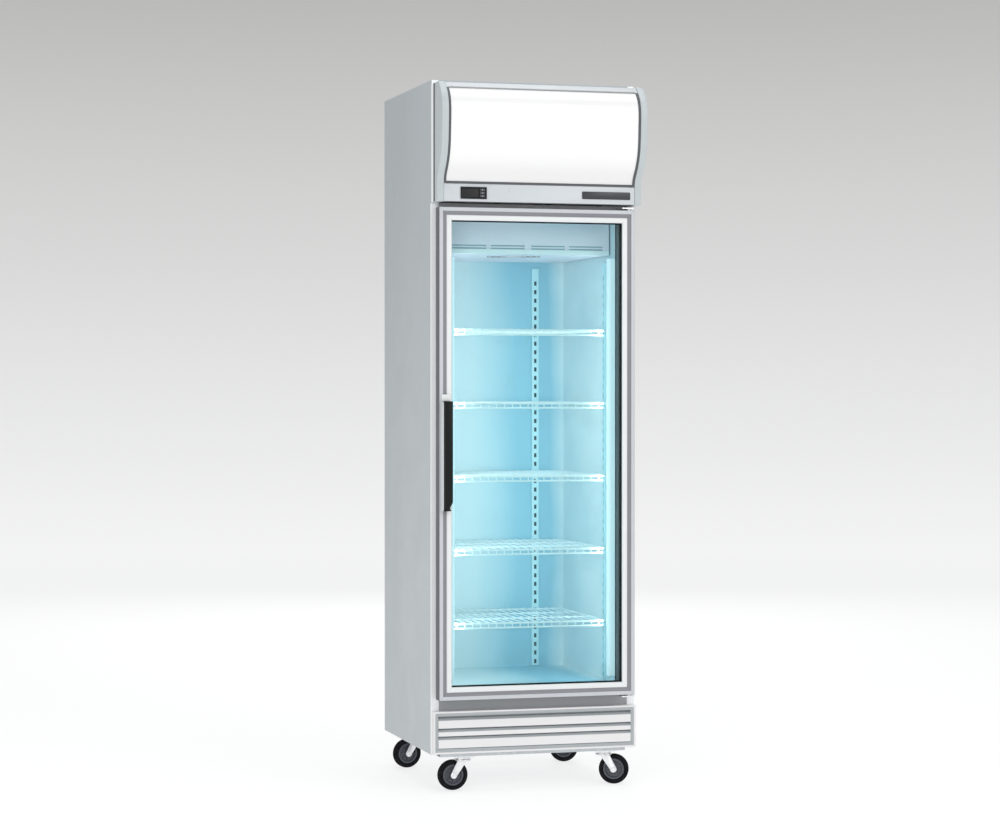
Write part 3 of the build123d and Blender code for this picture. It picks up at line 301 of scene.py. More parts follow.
# Materials ---------------------------------------------------------------------------------
SIGN_TUBE_HEIGHT = 1.905                 # where the lit sign is brightest
SIGN_FADE = 0.15                         # how far above and below that its light falls off
M = {
    "side": paint("side_grey_paint", (0.46, 0.505, 0.525), 0.38, 0.02, 0.06),
    # pale paint, also a painted highlight on the side panels' front edges and beside the end caps
    "front": paint("pale_paint_and_painted_highlight", (0.93, 0.95, 0.96), 0.33, 0.02, 0.06),
    "strip": paint("control_strip_paint", (0.60, 0.635, 0.665), 0.30, 0.02, 0.06),
    "cap": plastic("canopy_cap_plastic", (0.50, 0.545, 0.56), 0.36, 0.10, 0.03),
    "cap_light": plastic("canopy_light_trim", (0.60, 0.63, 0.65), 0.34, 0.08, 0.03),
    # dark strips of painted shadow round the sign face and beside the end caps
    "seal": plastic("canopy_painted_shadow_strip", (0.085, 0.09, 0.10), 0.5, 0.2),
    # the liner: painted light and shade across its walls
    "liner": liner_painted_light_and_shade(),
    "cover": paint("evaporator_cover_paint", (0.92, 0.83, 0.90), 0.40, 0.02, 0.1),
    "box_white": paint("light_box_paint", (0.85, 0.86, 0.86), 0.5, 0.02, 0.08),
    "face": paint("face_frame_paint", (0.35, 0.365, 0.385), 0.42),
    "reveal": plastic("breaker_strip_plastic", (0.004, 0.005, 0.006), 0.55, 0.2, 0.05, 1500.0,
                      specular_ior_level=0.12),
    "zinc_sheet": galvanised("galvanised_sheet", (0.58, 0.61, 0.63), 0.40, 85.0),
    "zinc": metal("zinc_plated_steel", (0.86, 0.87, 0.88), 0.30, (60.0, 60.0, 60.0), 0.06, 0.05),
    "standard": paint("standard_white_coating", (0.62, 0.86, 0.91), 0.34, 0.02, 0.06),
    "slot_shade": plastic("standard_channel_shade", (0.030, 0.085, 0.115), 0.6, 0.2),
    "grille": paint("kick_panel_paint", (0.80, 0.795, 0.80), 0.32, 0.02, 0.06),
    # painted shade on the kick panel: its frame's inner band, the blades' leaning tops and the sheet behind the
    # gaps
    "grille_shade": paint("kick_panel_painted_shade", (0.40, 0.43, 0.445), 0.4, 0.02, 0.06),
    # the door frame's outer band, also a painted highlight on the handle's outer flank
    "frame_outer": plastic("door_frame_outer_and_handle_highlight", (0.56, 0.585, 0.615), 0.30, 0.06, 0.02),
    # painted shade: the groove is the frame's own plastic drawn darker
    "frame_groove": plastic("door_frame_groove_painted_shade", (0.24, 0.245, 0.27), 0.40, 0.08, 0.03),
    "frame_bead": plastic("door_frame_bead", (0.80, 0.82, 0.825), 0.26, 0.05, 0.015),
    # painted shade on the door's outer side face, turned from the light
    "frame_side": plastic("door_frame_side_painted_shade", (0.085, 0.088, 0.105), 0.42, 0.08, 0.03),
    "gasket": rubber("gasket_rubber", (0.030, 0.032, 0.035), 0.6),
    "black": plastic("black_moulding", (0.006, 0.0075, 0.008), 0.34, 0.18, 0.1, 1500.0,
                     specular_ior_level=0.2),
    "black_soft": plastic("black_key_plastic", (0.06, 0.063, 0.07), 0.5, 0.2, 0.1),
    "window": plastic("display_window", (0.004, 0.005, 0.006), 0.10, 0.02, 0.2),
    "badge": metal("badge_dark_anodised", (0.075, 0.077, 0.085), 0.36, (8.0, 400.0, 400.0)),
    "filter": plastic("air_filter_fabric", (0.33, 0.50, 0.56), 0.9, 0.6, 0.12, 300.0),
    "white_plastic": plastic("white_moulding", (0.82, 0.83, 0.83), 0.45, 0.15, 0.03),
    "foam": plastic("rigid_foam", (0.72, 0.64, 0.44), 0.85, 0.6, 0.1, 500.0),
    "wire": plastic("shelf_wire_coating", (0.90, 0.96, 0.97), 0.30, 0.05, 0.03, 600.0),
    "tyre": rubber("tyre_rubber", (0.003, 0.003, 0.005), 0.8, specular_ior_level=0.08),
    "hub": plastic("hub_plastic", (0.075, 0.082, 0.10), 0.4, 0.2, 0.1),
    "compressor": paint("compressor_black_paint", (0.015, 0.015, 0.016), 0.28, 0.1, 0.3),
    "fins": metal("fin_stock_aluminium", (0.72, 0.74, 0.75), 0.34, (500.0, 500.0, 20.0)),
    "copper": metal("drawn_copper", (0.80, 0.42, 0.26), 0.24, (200.0, 200.0, 200.0), 0.12, 0.06),
    "glass": clear_glass("door_glass_clear", (0.94, 0.99, 0.995), (0.55, 0.8, 0.78)),
    "sign": glowing("sign_face_acrylic", (0.74, 0.74, 0.737), (1.0, 0.99, 0.975), 0.26, 0.16,
                    (SIGN_TUBE_HEIGHT, SIGN_FADE)),
    "lamp": glowing("interior_lamp_diffuser", (0.74, 0.84, 0.88), (0.78, 0.94, 1.0), 0.42, 0.4),
    "tube": glowing("canopy_tube_glass", (0.95, 0.96, 0.96), (1.0, 0.99, 0.97), 1.2, 0.2),
}


# Mesh helpers ------------------------------------------------------------------------------
def settle(obj, body, materials, slots=None, angle=35, replaces=(), slot=None):
    """Finishes a new piece: materials, smooth shading under an angle and body; the record slot is not used."""
    mesh = obj.data
    mesh.materials.clear()
    for key in materials:
        mesh.materials.append(M[key])
    for index, face in enumerate(mesh.polygons):
        face.use_smooth = True
        if slots:
            face.material_index = slots[index]
    mesh.set_sharp_from_angle(angle=radians(angle))
    bpy.context.scene.collection.objects.link(obj)
    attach(obj, body)
    if replaces:
        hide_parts(*replaces)
    return obj


def piece(name, verts, faces, body, materials, slots=None, **extra):
    """A new piece from points in metres and faces, its normals turned outwards."""
    mesh = bpy.data.meshes.new(name)
    mesh.from_pydata([tuple(v) for v in verts], [], faces)
    mesh.update()
    work = bmesh.new()
    work.from_mesh(mesh)
    bmesh.ops.recalc_face_normals(work, faces=work.faces)
    work.to_mesh(mesh)
    work.free()
    return settle(bpy.data.objects.new(name, mesh), body, materials, slots, **extra)


def rounded(points, steps=4):
    """A closed outline of (u, v, radius) corners, each corner rounded by a short curve."""
    longest = 0.48           # of a side, so that two rounded corners never meet
    out = []
    for i, (u, v, radius) in enumerate(points):
        here = Vector((u, v))
        before = Vector(points[i - 1][:2]) - here
        after = Vector(points[(i + 1) % len(points)][:2]) - here
        if radius <= 0:
            out.append((u, v))
            continue
        cut = radius / tan(before.angle(after) / 2)
        cut = min(cut, longest * before.length, longest * after.length)
        start, end = here + before.normalized() * cut, here + after.normalized() * cut
        for k in range(steps + 1):
            t = k / steps
            out.append(tuple(start * (1 - t) ** 2 + here * 2 * t * (1 - t) + end * t * t))
    return out


def tube_faces(rings, count, closed=False):
    """Quads between rings of points, with a face at each end unless the tube closes on itself."""
    faces = []
    for r in range(rings if closed else rings - 1):
        a, b = r * count, ((r + 1) % rings) * count
        for k in range(count):
            m = (k + 1) % count
            faces.append((a + k, a + m, b + m, b + k))
    if not closed:
        faces.append(tuple(range(count)))
        faces.append(tuple(range((rings - 1) * count, rings * count)))
    return faces


def strip_keys(outline, key_of):
    """The material slot of each strip between two points of an outline, from the strip's middle."""
    ends = zip(outline, outline[1:] + outline[:1])
    return [key_of(*((Vector(a) + Vector(b)) / 2)) for a, b in ends]


def frame_bars(names, half, z0, z1, back, outline, key_of, body, materials, replaces, slot, joint):
    """Four mitred bars round a rectangle, in the order bottom, right, top, left.

    The outline is (inward, forward) from the outer back edge. Each mitre is opened by the joint.
    """
    def corner(index, u):
        x = (-half + u, half - u, half - u, -half + u)[index]
        z = (z0 + u, z0 + u, z1 - u, z1 - u)[index]
        return x, z

    keys = strip_keys(outline, key_of)
    keys += [keys[0]] * 2
    for side, (name, node) in enumerate(zip(names, replaces)):
        verts = []
        for index in (side, (side + 1) % 4):
            for u, v in outline:
                x, z = corner(index, u)
                if side % 2 == 0:
                    x -= joint * (1 if x > 0 else -1)
                else:
                    z -= joint * (1 if z > (z0 + z1) / 2 else -1)
                verts.append((x, back - v, z))
        piece(name, verts, tube_faces(2, len(outline)), body, materials, keys, replaces=(node,),
              slot=slot, angle=30)


def prism_x(name, outline, x0, x1, body, *keys, key_of=None, **extra):
    """An outline of (y, z) run along X; key_of(y, z) chooses the material of each strip."""
    verts = [(x, y, z) for x in (x0, x1) for y, z in outline]
    slots = strip_keys(outline, key_of) + [0, 0] if key_of else None
    return piece(name, verts, tube_faces(2, len(outline)), body, keys, slots, **extra)


def bar_x(name, ys, zs, radius, xs, body, *keys, **extra):
    """A bar along X with rounded long edges; ys, zs and xs are its (lowest, highest) places."""
    corners = ((ys[0], zs[0]), (ys[1], zs[0]), (ys[1], zs[1]), (ys[0], zs[1]))
    return prism_x(name, rounded([(y, z, radius) for y, z in corners]), *xs, body, *keys, **extra)


def prism_z(name, outline, z0, z1, body, *keys, **extra):
    """An outline of (x, y) run along Z."""
    verts = [(x, y, z) for z in (z0, z1) for x, y in outline]
    return piece(name, verts, tube_faces(2, len(outline)), body, keys, **extra)


def lathe(outline, centre, axis, segments):
    """Points and quads of an outline of (radius, along) turned about an axis through a centre."""
    side = axis.cross(UP if abs(axis.z) < 0.9 else Vector((1, 0, 0))).normalized()
    up = side.cross(axis)
    verts = []
    for k in range(segments):
        turn = 2 * pi * k / segments
        out = side * cos(turn) + up * sin(turn)
        verts += [centre + out * r + axis * a for r, a in outline]
    return verts, tube_faces(segments, len(outline), closed=True)


def softened(node, width, *keys, pick=None, least=28):
    """A copy of a CAD node, its edges sharper than `least` degrees rounded, shown in the node's place."""
    mesh = bpy.data.meshes.new(node + "_rounded")
    work = bmesh.new()
    work.from_mesh(NODES[node].data)
    bmesh.ops.remove_doubles(work, verts=work.verts, dist=2e-6)
    bmesh.ops.dissolve_limit(work, angle_limit=radians(0.6), verts=work.verts, edges=work.edges)
    between = [edge for edge in work.edges if len(edge.link_faces) == 2]
    sharp = [edge for edge in between if edge.calc_face_angle(0) > radians(least)]
    bmesh.ops.bevel(work, geom=sharp, offset=width, segments=2, profile=0.5, affect="EDGES",
                    clamp_overlap=True)
    work.to_mesh(mesh)
    work.free()
    slots = [pick(face.center, face.normal) for face in mesh.polygons] if pick else None
    obj = bpy.data.objects.new(node + "_rounded", mesh)
    return settle(obj, BODY_OF[node], keys, slots, replaces=(node,))


def dress(node, *keys, pick=None):
    """Gives a CAD node its materials; pick(centre, normal) chooses the slot of each face."""
    mesh = NODES[node].data
    mesh.materials.clear()
    for key in keys:
        mesh.materials.append(M[key])
    if pick:
        for face in mesh.polygons:
            face.material_index = pick(face.center, face.normal)


# CAD nodes shown as they are, then those with two finishes or rounded edges ----------------
PLAIN = {
    "side": ["top_panel"],
    "box_white": ["canopy_housing"],
    "liner": ["inner_liner"],
    "cover": ["evaporator_cover"],
    "zinc_sheet": ["back_panel", "base_frame", "condenser_shroud", "electrical_box", "rear_grille"],
    "zinc": ["panel_screws", "hinge_brackets", "caster_plates"],
    "reveal": ["glass_spacer"],
    "black": ["cord_gland", "condenser_fan", "evaporator_fan", "evaporator_fan_frame"],
    "black_soft": ["button_set", "button_up", "button_down"],
    "window": ["controller_display"],
    "white_plastic": ["tube_holders", "condensate_drain", "hinge_bushes", "drip_tray"],
    "foam": ["insulation_panels"],
    "wire": [f"shelf_{i}" for i in range(1, 6)],
    "standard": ["shelf_supports"],
    "fins": ["condenser_coil", "evaporator_coil"],
    "copper": ["refrigerant_pipes"],
    "glass": ["door_glass_panes"],
    "sign": ["canopy_face"],
    "tube": ["canopy_tubes"],
}
for key, names in PLAIN.items():
    for name in names:
        dress(name, key)

LIP_DEPTH = 1.6 * MM                      # the front sheet of the face frame, in its own paint
GROMMET_TOP = low("compressor").z + 15.9 * MM
HANDLE_FLANK = low("door_handle").x + 5.5 * MM
CAP_EDGE = high("canopy_face").x          # where the sign ends and each end cap begins
dress("face_frame", "face", "reveal", pick=lambda c, n: int(c.y > FRONT + LIP_DEPTH))
dress("compressor", "compressor", "tyre", pick=lambda c, n: int(c.z < GROMMET_TOP))
# Painted highlight: the side panels' front returns take the pale paint where the light falls on them; the sides
# keep the grey.
softened("side_panels", 0.5 * MM, "side", "front",
         pick=lambda c, n: int(n.y < -0.6 and c.y < FRONT + 1 * MM))
softened("control_fascia", 1.2 * MM, "strip")
# Painted highlight: the handle's outer flank takes the frame's lighter grey where the light catches the black
# moulding.
softened("door_handle", 1.0 * MM, "black", "frame_outer", pick=lambda c, n: int(c.x < HANDLE_FLANK))
softened("controller_housing", 0.8 * MM, "black")
softened("badge_plate", 0.5 * MM, "badge")
softened("interior_lamps", 1.5 * MM, "lamp")
softened("canopy_trim", 1.5 * MM, "cap", "cap_light", pick=lambda c, n: int(abs(c.x) <= CAP_EDGE))


# Door --------------------------------------------------------------------------------------
DOOR_HALF = high("door_stiles").x
DOOR_BACK = high("door_stiles").y
DOOR_Z = (low("door_stiles").z, high("door_stiles").z)
OUTER_BAND = 11.2 * MM       # width of the frame's flat outer band
GROOVE_END = 22.8 * MM       # where the groove gives way to the glazing bead
MITRE_GAP = 0.15 * MM        # left open on each side of a mitre
DOOR_FINISHES = ["frame_outer", "frame_groove", "frame_bead", "reveal", "frame_side"]


def door_key(u, v):
    """Which finish a strip of the door's section has, from its place inward and forward; the groove and the outer
    side face take darker copies as painted shade.
    """
    band, groove, bead, glazing_side, outer_side = range(len(DOOR_FINISHES))
    if u < 0.3 * MM:
        return outer_side
    if v < 30 * MM:
        return glazing_side if u > 20 * MM and v > 1 * MM else band
    if u < OUTER_BAND:
        return band
    if u < GROOVE_END:
        return groove
    return bead if v > 33 * MM or u < 36 * MM else glazing_side


DOOR_SECTION = rounded(mm([
    (0, 0.6, 0.4), (0, 40, 1.8), (11, 40, 0.8), (13.2, 37.4, 0.8), (22, 35, 0.8), (23.6, 38.2, 1.0),
    (30, 39.2, 3.0), (36.8, 38.2, 1.2), (38, 36, 0.8), (38, 31, 0.3), (25, 31, 0), (25, 8, 0),
    (36, 8, 0.5), (36, 2, 0.6), (34, 0, 0.6), (1, 0, 0.4)]))
frame_bars([f"door_{bar}_profile" for bar in ("bottom_rail", "hinge_stile", "top_rail", "handle_stile")],
           DOOR_HALF, *DOOR_Z, DOOR_BACK, DOOR_SECTION, door_key, "door", DOOR_FINISHES,
           ["door_rails", "door_stiles"] * 2, "door_frame_plastic", MITRE_GAP)

GASKET_SECTION = rounded(mm([
    (0, 0, 0.3), (0, -1.2, 0.4), (2.0, -1.6, 0.4), (3.2, -3.9, 0.8), (7.5, -4.5, 1.2), (11.8, -3.9, 0.8),
    (12.4, -2.4, 0.5), (14.2, -2.4, 0.5), (15.0, -1.5, 0.4), (17, -1.2, 0.4), (17, 0, 0.3)]))
frame_bars([f"door_gasket_{side}" for side in ("bottom", "hinge_side", "top", "handle_side")],
           high("door_gasket").x, low("door_gasket").z, high("door_gasket").z, DOOR_BACK,
           GASKET_SECTION, lambda u, v: 0, "door", ["gasket"], ["door_gasket"] * 4, "gasket_rubber", 0.0)

HANDLE_LOW, HANDLE_HIGH = BOXES["door_handle"]
bar_x("handle_end_cap", (HANDLE_HIGH.y - 7 * MM, HANDLE_HIGH.y - 0.1 * MM),
      (HANDLE_HIGH.z + 0.4 * MM, HANDLE_HIGH.z + 20 * MM), 2.5 * MM,
      (HANDLE_LOW.x + 3 * MM, HANDLE_HIGH.x - 2 * MM), "door", "frame_bead", slot="door_frame_plastic")


# Kick panel --------------------------------------------------------------------------------
KICK_HALF = high("base_grille").x
KICK_BACK = high("base_grille").y
KICK_FRONT = low("base_grille").y
KICK_Z = (low("base_grille").z, high("base_grille").z)
KICK_SECTION = rounded(mm([
    (0, 0, 0.3), (0, 21.5, 2.0), (4.6, 21.5, 1.2), (6.0, 18.5, 0.8), (13.6, 18.5, 0.8), (15, 16.5, 0.8),
    (15, 0, 0)]))
# Painted shade: the frame's inner band, behind its rim, is grey for the shade in its recess.
frame_bars([f"kick_panel_{side}" for side in ("bottom", "right", "top", "left")], KICK_HALF, *KICK_Z,
           KICK_BACK, KICK_SECTION, lambda u, v: int(u > 5.4 * MM), "cabinet",
           ["grille", "grille_shade"], ["base_grille"] * 4, "grille_paint", MITRE_GAP)

BLADE_HEIGHTS = mm([(131, 161.5), (166, 184), (189, 217.5)])       # each blade's foot and head
FOLD = 6.5 * MM                          # how far below its head a blade starts to lean back
SHEET = 2.0 * MM                         # the thickness drawn for a blade
BLADE_FRONT = KICK_FRONT + 3 * MM
BLADE_TAIL = KICK_BACK - 5.5 * MM
BLADE_HALF = KICK_HALF - 15 * MM
# Painted shade: the leaning upper part of each blade is grey, for the shade under the blade above.
for number, (foot, head) in enumerate(BLADE_HEIGHTS, 1):
    fold = head - FOLD
    section = rounded([
        (BLADE_FRONT, fold, 1.0 * MM), (BLADE_FRONT + 8 * MM, head, 0.6 * MM),
        (BLADE_FRONT + 9.6 * MM, head, 0), (BLADE_FRONT + SHEET, fold - 1 * MM, 0.8 * MM),
        (BLADE_FRONT + SHEET, foot + 3 * MM, 0.6 * MM), (BLADE_TAIL, foot + 3 * MM, 0),
        (BLADE_TAIL, foot - 1.0 * MM, 0), (BLADE_FRONT, foot - 1.0 * MM, 2.2 * MM)])
    prism_x(f"kick_panel_blade_{number}", section, -BLADE_HALF, BLADE_HALF, "cabinet", "grille",
            "grille_shade", key_of=lambda y, z, fold=fold: int(z > fold + 0.3 * MM),
            slot="grille_paint", replaces=("base_grille",))

# Painted shade: a grey sheet behind the blades, for the shade seen through their gaps.
GAP_SHADE_INSET = 14 * MM
GAP_SHADE_HALF = KICK_HALF - GAP_SHADE_INSET
GAP_SHADE_FOOT, GAP_SHADE_HEAD = KICK_Z[0] + GAP_SHADE_INSET, KICK_Z[1] - GAP_SHADE_INSET
GAP_SHADE_CORNERS = ((-GAP_SHADE_HALF, GAP_SHADE_FOOT), (GAP_SHADE_HALF, GAP_SHADE_FOOT),
                   (GAP_SHADE_HALF, GAP_SHADE_HEAD), (-GAP_SHADE_HALF, GAP_SHADE_HEAD))
piece("kick_panel_gap_shade", [(x, KICK_BACK - y, z) for y in (4 * MM, 2 * MM) for x, z in GAP_SHADE_CORNERS],
      tube_faces(2, 4), "cabinet", ["grille_shade"], slot="grille_paint")


# Canopy ------------------------------------------------------------------------------------
def face_curve(least):
    """The sign face's front outline at its left end: (y, z) points at least so far apart, going up."""
    mesh = NODES["canopy_face"].data
    edge = low("canopy_face").x + 0.1 * MM
    forward = [f for f in mesh.polygons if f.normal.y < -0.2 and abs(f.normal.x) < 0.5]
    front = [mesh.vertices[i].co for face in forward for i in face.vertices]
    points = sorted({(round(p.z, 6), round(p.y, 6)) for p in front if p.x < edge})
    kept = [points[0], points[-1]]
    for point in points[1:-1]:
        if point[0] - kept[-2][0] > least and points[-1][0] - point[0] > least:
            kept.insert(-1, point)
    return [(y, z) for z, y in kept]


CURVE = face_curve(5 * MM)
# Painted shadow: dark strips along the ends, top and bottom of the sign face, where the step to the caps and the
# top rail casts shade.
EDGE_SHADOW_WIDTH = 7.0 * MM
EDGE_SHADOW_HEIGHT = 2.6 * MM
EDGE_SHADOW_SUNK = 0.4 * MM
EDGE_SHADOW_SECTION = rounded([(0, -EDGE_SHADOW_SUNK, 0), (0, EDGE_SHADOW_HEIGHT, 0.9 * MM),
                        (EDGE_SHADOW_WIDTH, EDGE_SHADOW_HEIGHT, 0.9 * MM), (EDGE_SHADOW_WIDTH, -EDGE_SHADOW_SUNK, 0)], 3)


def outward(index):
    """The unit normal of the face's outline at one of its points, towards the front."""
    a, b = CURVE[max(index - 1, 0)], CURVE[min(index + 1, len(CURVE) - 1)]
    return Vector((-(b[1] - a[1]), b[0] - a[0])).normalized()


for side, name in SIDES:
    verts = []
    for index, (y, z) in enumerate(CURVE):
        n = outward(index)
        verts += [(side * (CAP_EDGE + 0.4 * MM - u), y + n.x * v, z + n.y * v) for u, v in EDGE_SHADOW_SECTION]
    piece(f"sign_face_shadow_strip_{name}", verts, tube_faces(len(CURVE), len(EDGE_SHADOW_SECTION)), "cabinet", ["seal"],
          slot="black_plastic")
# the top and bottom strips: painted shadow as well
for index, name, lift in ((0, "bottom", 1.2 * MM), (len(CURVE) - 1, "top", -1.6 * MM)):
    n = outward(index)
    t = Vector((-n.y if n.x < 0 else n.y, abs(n.x)))
    base = Vector(CURVE[index]) + t * lift
    outline = [tuple(base + n * v + t * (u - EDGE_SHADOW_WIDTH / 2)) for u, v in EDGE_SHADOW_SECTION]
    prism_x(f"sign_face_shadow_strip_{name}", outline, -CAP_EDGE + EDGE_SHADOW_WIDTH, CAP_EDGE - EDGE_SHADOW_WIDTH,
            "cabinet", "seal", slot="black_plastic")

# Painted light and shade where each end cap meets its side panel: a light strip for the highlight on the panel's
# front edge, and a dark strip for the shadow in the seam.
CAP_BACK = high("canopy_trim").y
CAP_Z = (low("canopy_trim").z, high("canopy_trim").z)
STRIP_Z = (CAP_Z[0] + 1 * MM, CAP_Z[1] - 1 * MM)
for side, name in SIDES:
    xs = sorted((side * (KICK_HALF + 0.6 * MM), side * (KICK_HALF + 1.7 * MM)))
    bar_x(f"canopy_edge_highlight_{name}", (CAP_BACK - 22 * MM, CAP_BACK), STRIP_Z, 0.5 * MM, xs,
          "cabinet", "front", slot="face_paint")
    bar_x(f"canopy_seam_shadow_{name}", (CAP_BACK - 38 * MM, CAP_BACK - 24 * MM), STRIP_Z, 0.5 * MM, xs,
          "cabinet", "seal", slot="black_plastic")

# A folded flashing over the gap between the canopy and the roof.
FLASHING_TOP = high("top_panel").z - 0.2 * MM
FLASHING_FOOT = CAP_Z[1] + 0.3 * MM
FLASHING_FRONT = CAP_BACK - 26 * MM
FLASHING_REAR = low("top_panel").y + 3 * MM
FLASHING_SHEET = 1.0 * MM
FLASHING = [(FLASHING_FRONT, FLASHING_FOOT), (CAP_BACK + 1.6 * MM, FLASHING_FOOT),
            (CAP_BACK + 1.6 * MM, FLASHING_TOP - FLASHING_SHEET),
            (FLASHING_REAR, FLASHING_TOP - FLASHING_SHEET), (FLASHING_REAR, FLASHING_TOP),
            (CAP_BACK + 0.6 * MM, FLASHING_TOP), (CAP_BACK + 0.6 * MM, FLASHING_FOOT + FLASHING_SHEET),
            (FLASHING_FRONT, FLASHING_FOOT + FLASHING_SHEET)]
prism_x("roof_flashing", FLASHING, -CAP_EDGE, CAP_EDGE, "cabinet", "side", slot="side_paint")

# Painted highlight: bright strips round the front corners of the side panels, where the light catches them.
HIGHLIGHT_Z = (low("side_panels").z + 2 * MM, CAP_Z[0] - 1.5 * MM)
HIGHLIGHT_WRAP = 9.0 * MM                     # how far a highlight strip runs back along the side
HIGHLIGHT_LAP = 11.3 * MM                     # and how far it laps onto the front
HIGHLIGHT_SHEET = 0.7 * MM
for side, name in SIDES:
    x = side * high("side_panels").x
    outer, inner = x + side * HIGHLIGHT_SHEET, x - side * HIGHLIGHT_LAP
    corner = [(outer, FRONT - HIGHLIGHT_SHEET), (outer, FRONT + HIGHLIGHT_WRAP), (x, FRONT + HIGHLIGHT_WRAP),
              (x, FRONT), (inner, FRONT), (inner, FRONT - HIGHLIGHT_SHEET)]
    prism_z(f"side_edge_highlight_{name}", corner, *HIGHLIGHT_Z, "cabinet", "front", slot="face_paint")


# Evaporator cover --------------------------------------------------------------------------
COVER_LOW, COVER_HIGH = BOXES["evaporator_cover"]
bar_x("cover_slot_filter", (COVER_LOW.y + 2.2 * MM, COVER_LOW.y + 5 * MM),
      (COVER_LOW.z + 8 * MM, COVER_LOW.z + 60 * MM), 0.5 * MM,
      (COVER_LOW.x + 6 * MM, COVER_HIGH.x - 6 * MM), "cabinet", "filter", slot="white_paint")
bar_x("cover_lower_edge", (COVER_LOW.y - 2.5 * MM, COVER_LOW.y - 0.2 * MM),
      (COVER_LOW.z, COVER_LOW.z + 13 * MM), 1.0 * MM,
      (COVER_LOW.x + 1 * MM, COVER_HIGH.x - 1 * MM), "cabinet", "front", slot="white_paint")


# Keys --------------------------------------------------------------------------------------
def key_mark(name, body, corners):
    """A small raised sign on a key: corners are (x, z) from the key's centre."""
    face = low(body).y
    centre = (low(body) + high(body)) / 2
    depths = (face - 0.15 * MM, face + 0.2 * MM)
    verts = [(centre.x + x, y, centre.z + z) for y in depths for x, z in corners]
    piece(name, verts, tube_faces(2, len(corners)), body, ["white_plastic"], slot="white_plastic")


key_mark("mark_up", "button_up", mm([(-1.6, -1.0), (1.6, -1.0), (0, 1.4)]))
key_mark("mark_down", "button_down", mm([(-1.6, 1.0), (1.6, 1.0), (0, -1.4)]))
DOT_RADIUS = 1.2 * MM
DOT = [(DOT_RADIUS * cos(k * pi / 6), DOT_RADIUS * sin(k * pi / 6)) for k in range(12)]
key_mark("mark_set", "button_set", DOT)


# Painted shade: dark strips behind the slots of the shelf standards, for the shade in their channels
# ---------------
CHANNEL_SHADE_Z = (low("shelf_supports").z + 2 * MM, high("shelf_supports").z - 2 * MM)
CHANNEL_SHADE_HALF = 8 * MM                     # half a shade strip's width
CHANNEL_SHADE_NEAR, CHANNEL_SHADE_FAR = 2.5 * MM, 0.3 * MM        # its faces, measured from the liner
LINER_BACK = high("shelf_supports").y
LINER_SIDE = high("shelf_supports").x
SIDE_STANDARD_Y = low("shelf_supports").y + 11 * MM
REAR_STANDARD_X = 162 * MM               # each rear standard's distance from the middle
for side, name in SIDES:
    x = side * REAR_STANDARD_X
    bar_x(f"channel_shade_rear_{name}", (LINER_BACK - CHANNEL_SHADE_NEAR, LINER_BACK - CHANNEL_SHADE_FAR), CHANNEL_SHADE_Z,
          0.4 * MM, (x - CHANNEL_SHADE_HALF, x + CHANNEL_SHADE_HALF), "cabinet", "slot_shade", slot="black_plastic")
    xs = sorted((side * (LINER_SIDE - CHANNEL_SHADE_NEAR), side * (LINER_SIDE - CHANNEL_SHADE_FAR)))
    bar_x(f"channel_shade_side_{name}", (SIDE_STANDARD_Y - CHANNEL_SHADE_HALF, SIDE_STANDARD_Y + CHANNEL_SHADE_HALF),
          CHANNEL_SHADE_Z, 0.4 * MM, xs, "cabinet", "slot_shade", slot="black_plastic")


# Casters -----------------------------------------------------------------------------------
TYRE_SECTION = rounded(mm([
    (31.2, -9.6, 0.4), (32.4, -11.6, 0.5), (35.5, -12.0, 0.8), (38.5, -11.6, 0.8), (42.4, -10.4, 1.5),
    (44.3, -6.2, 1.2), (44.5, -3.4, 0.3), (43.4, -3.0, 0.3), (43.4, -2.2, 0.3), (44.5, -1.8, 0.3),
    (44.5, 1.8, 0.3), (43.4, 2.2, 0.3), (43.4, 3.0, 0.3), (44.5, 3.4, 0.3), (44.3, 6.2, 1.2),
    (42.4, 10.4, 1.5), (38.5, 11.6, 0.8), (35.5, 12.0, 0.8), (32.4, 11.6, 0.5), (31.2, 9.6, 0.4)]), 2)
HUB_SECTION = rounded(mm([
    (5.5, -13.2, 0.3), (10.6, -13.2, 0.8), (11.4, -5.0, 1.0), (13.5, -3.2, 1.0), (23.5, -3.2, 1.5),
    (26.0, -9.8, 1.0), (30.9, -9.4, 0.6), (30.9, 9.4, 0.6), (26.0, 9.8, 1.0), (23.5, 3.2, 1.5),
    (13.5, 3.2, 1.0), (11.4, 5.0, 1.0), (10.6, 13.2, 0.8), (5.5, 13.2, 0.3)]), 2)
RACE_SECTION = rounded(mm([
    (12, -2.0, 0), (23.5, -2.0, 0.6), (25.5, 0.4, 0.8), (24.8, 2.6, 1.0), (20, 3.4, 0.5), (12, 3.4, 0)]), 3)
RACE_DROP = 14.5 * MM                    # from the top of the fork down to the race
RIBS = 8
RIB_HALF = 0.9 * MM
NUT_REACH = 17.6 * MM                    # from the middle of the wheel out to a washer


def hub_rib(centre, axis, turn):
    """One radial stiffening rib of a hub, from the barrel to the rim on both sides of the web."""
    out = UP.cross(axis).normalized() * cos(turn) + UP * sin(turn)
    across = axis.cross(out)
    verts = []
    for r, half in mm([(10.8, 8.6), (26.4, 7.6)]):
        for a, w in ((-half, -RIB_HALF), (half, -RIB_HALF), (half, RIB_HALF), (-half, RIB_HALF)):
            verts.append(centre + out * r + axis * a + across * w)
    return verts, tube_faces(2, 4)


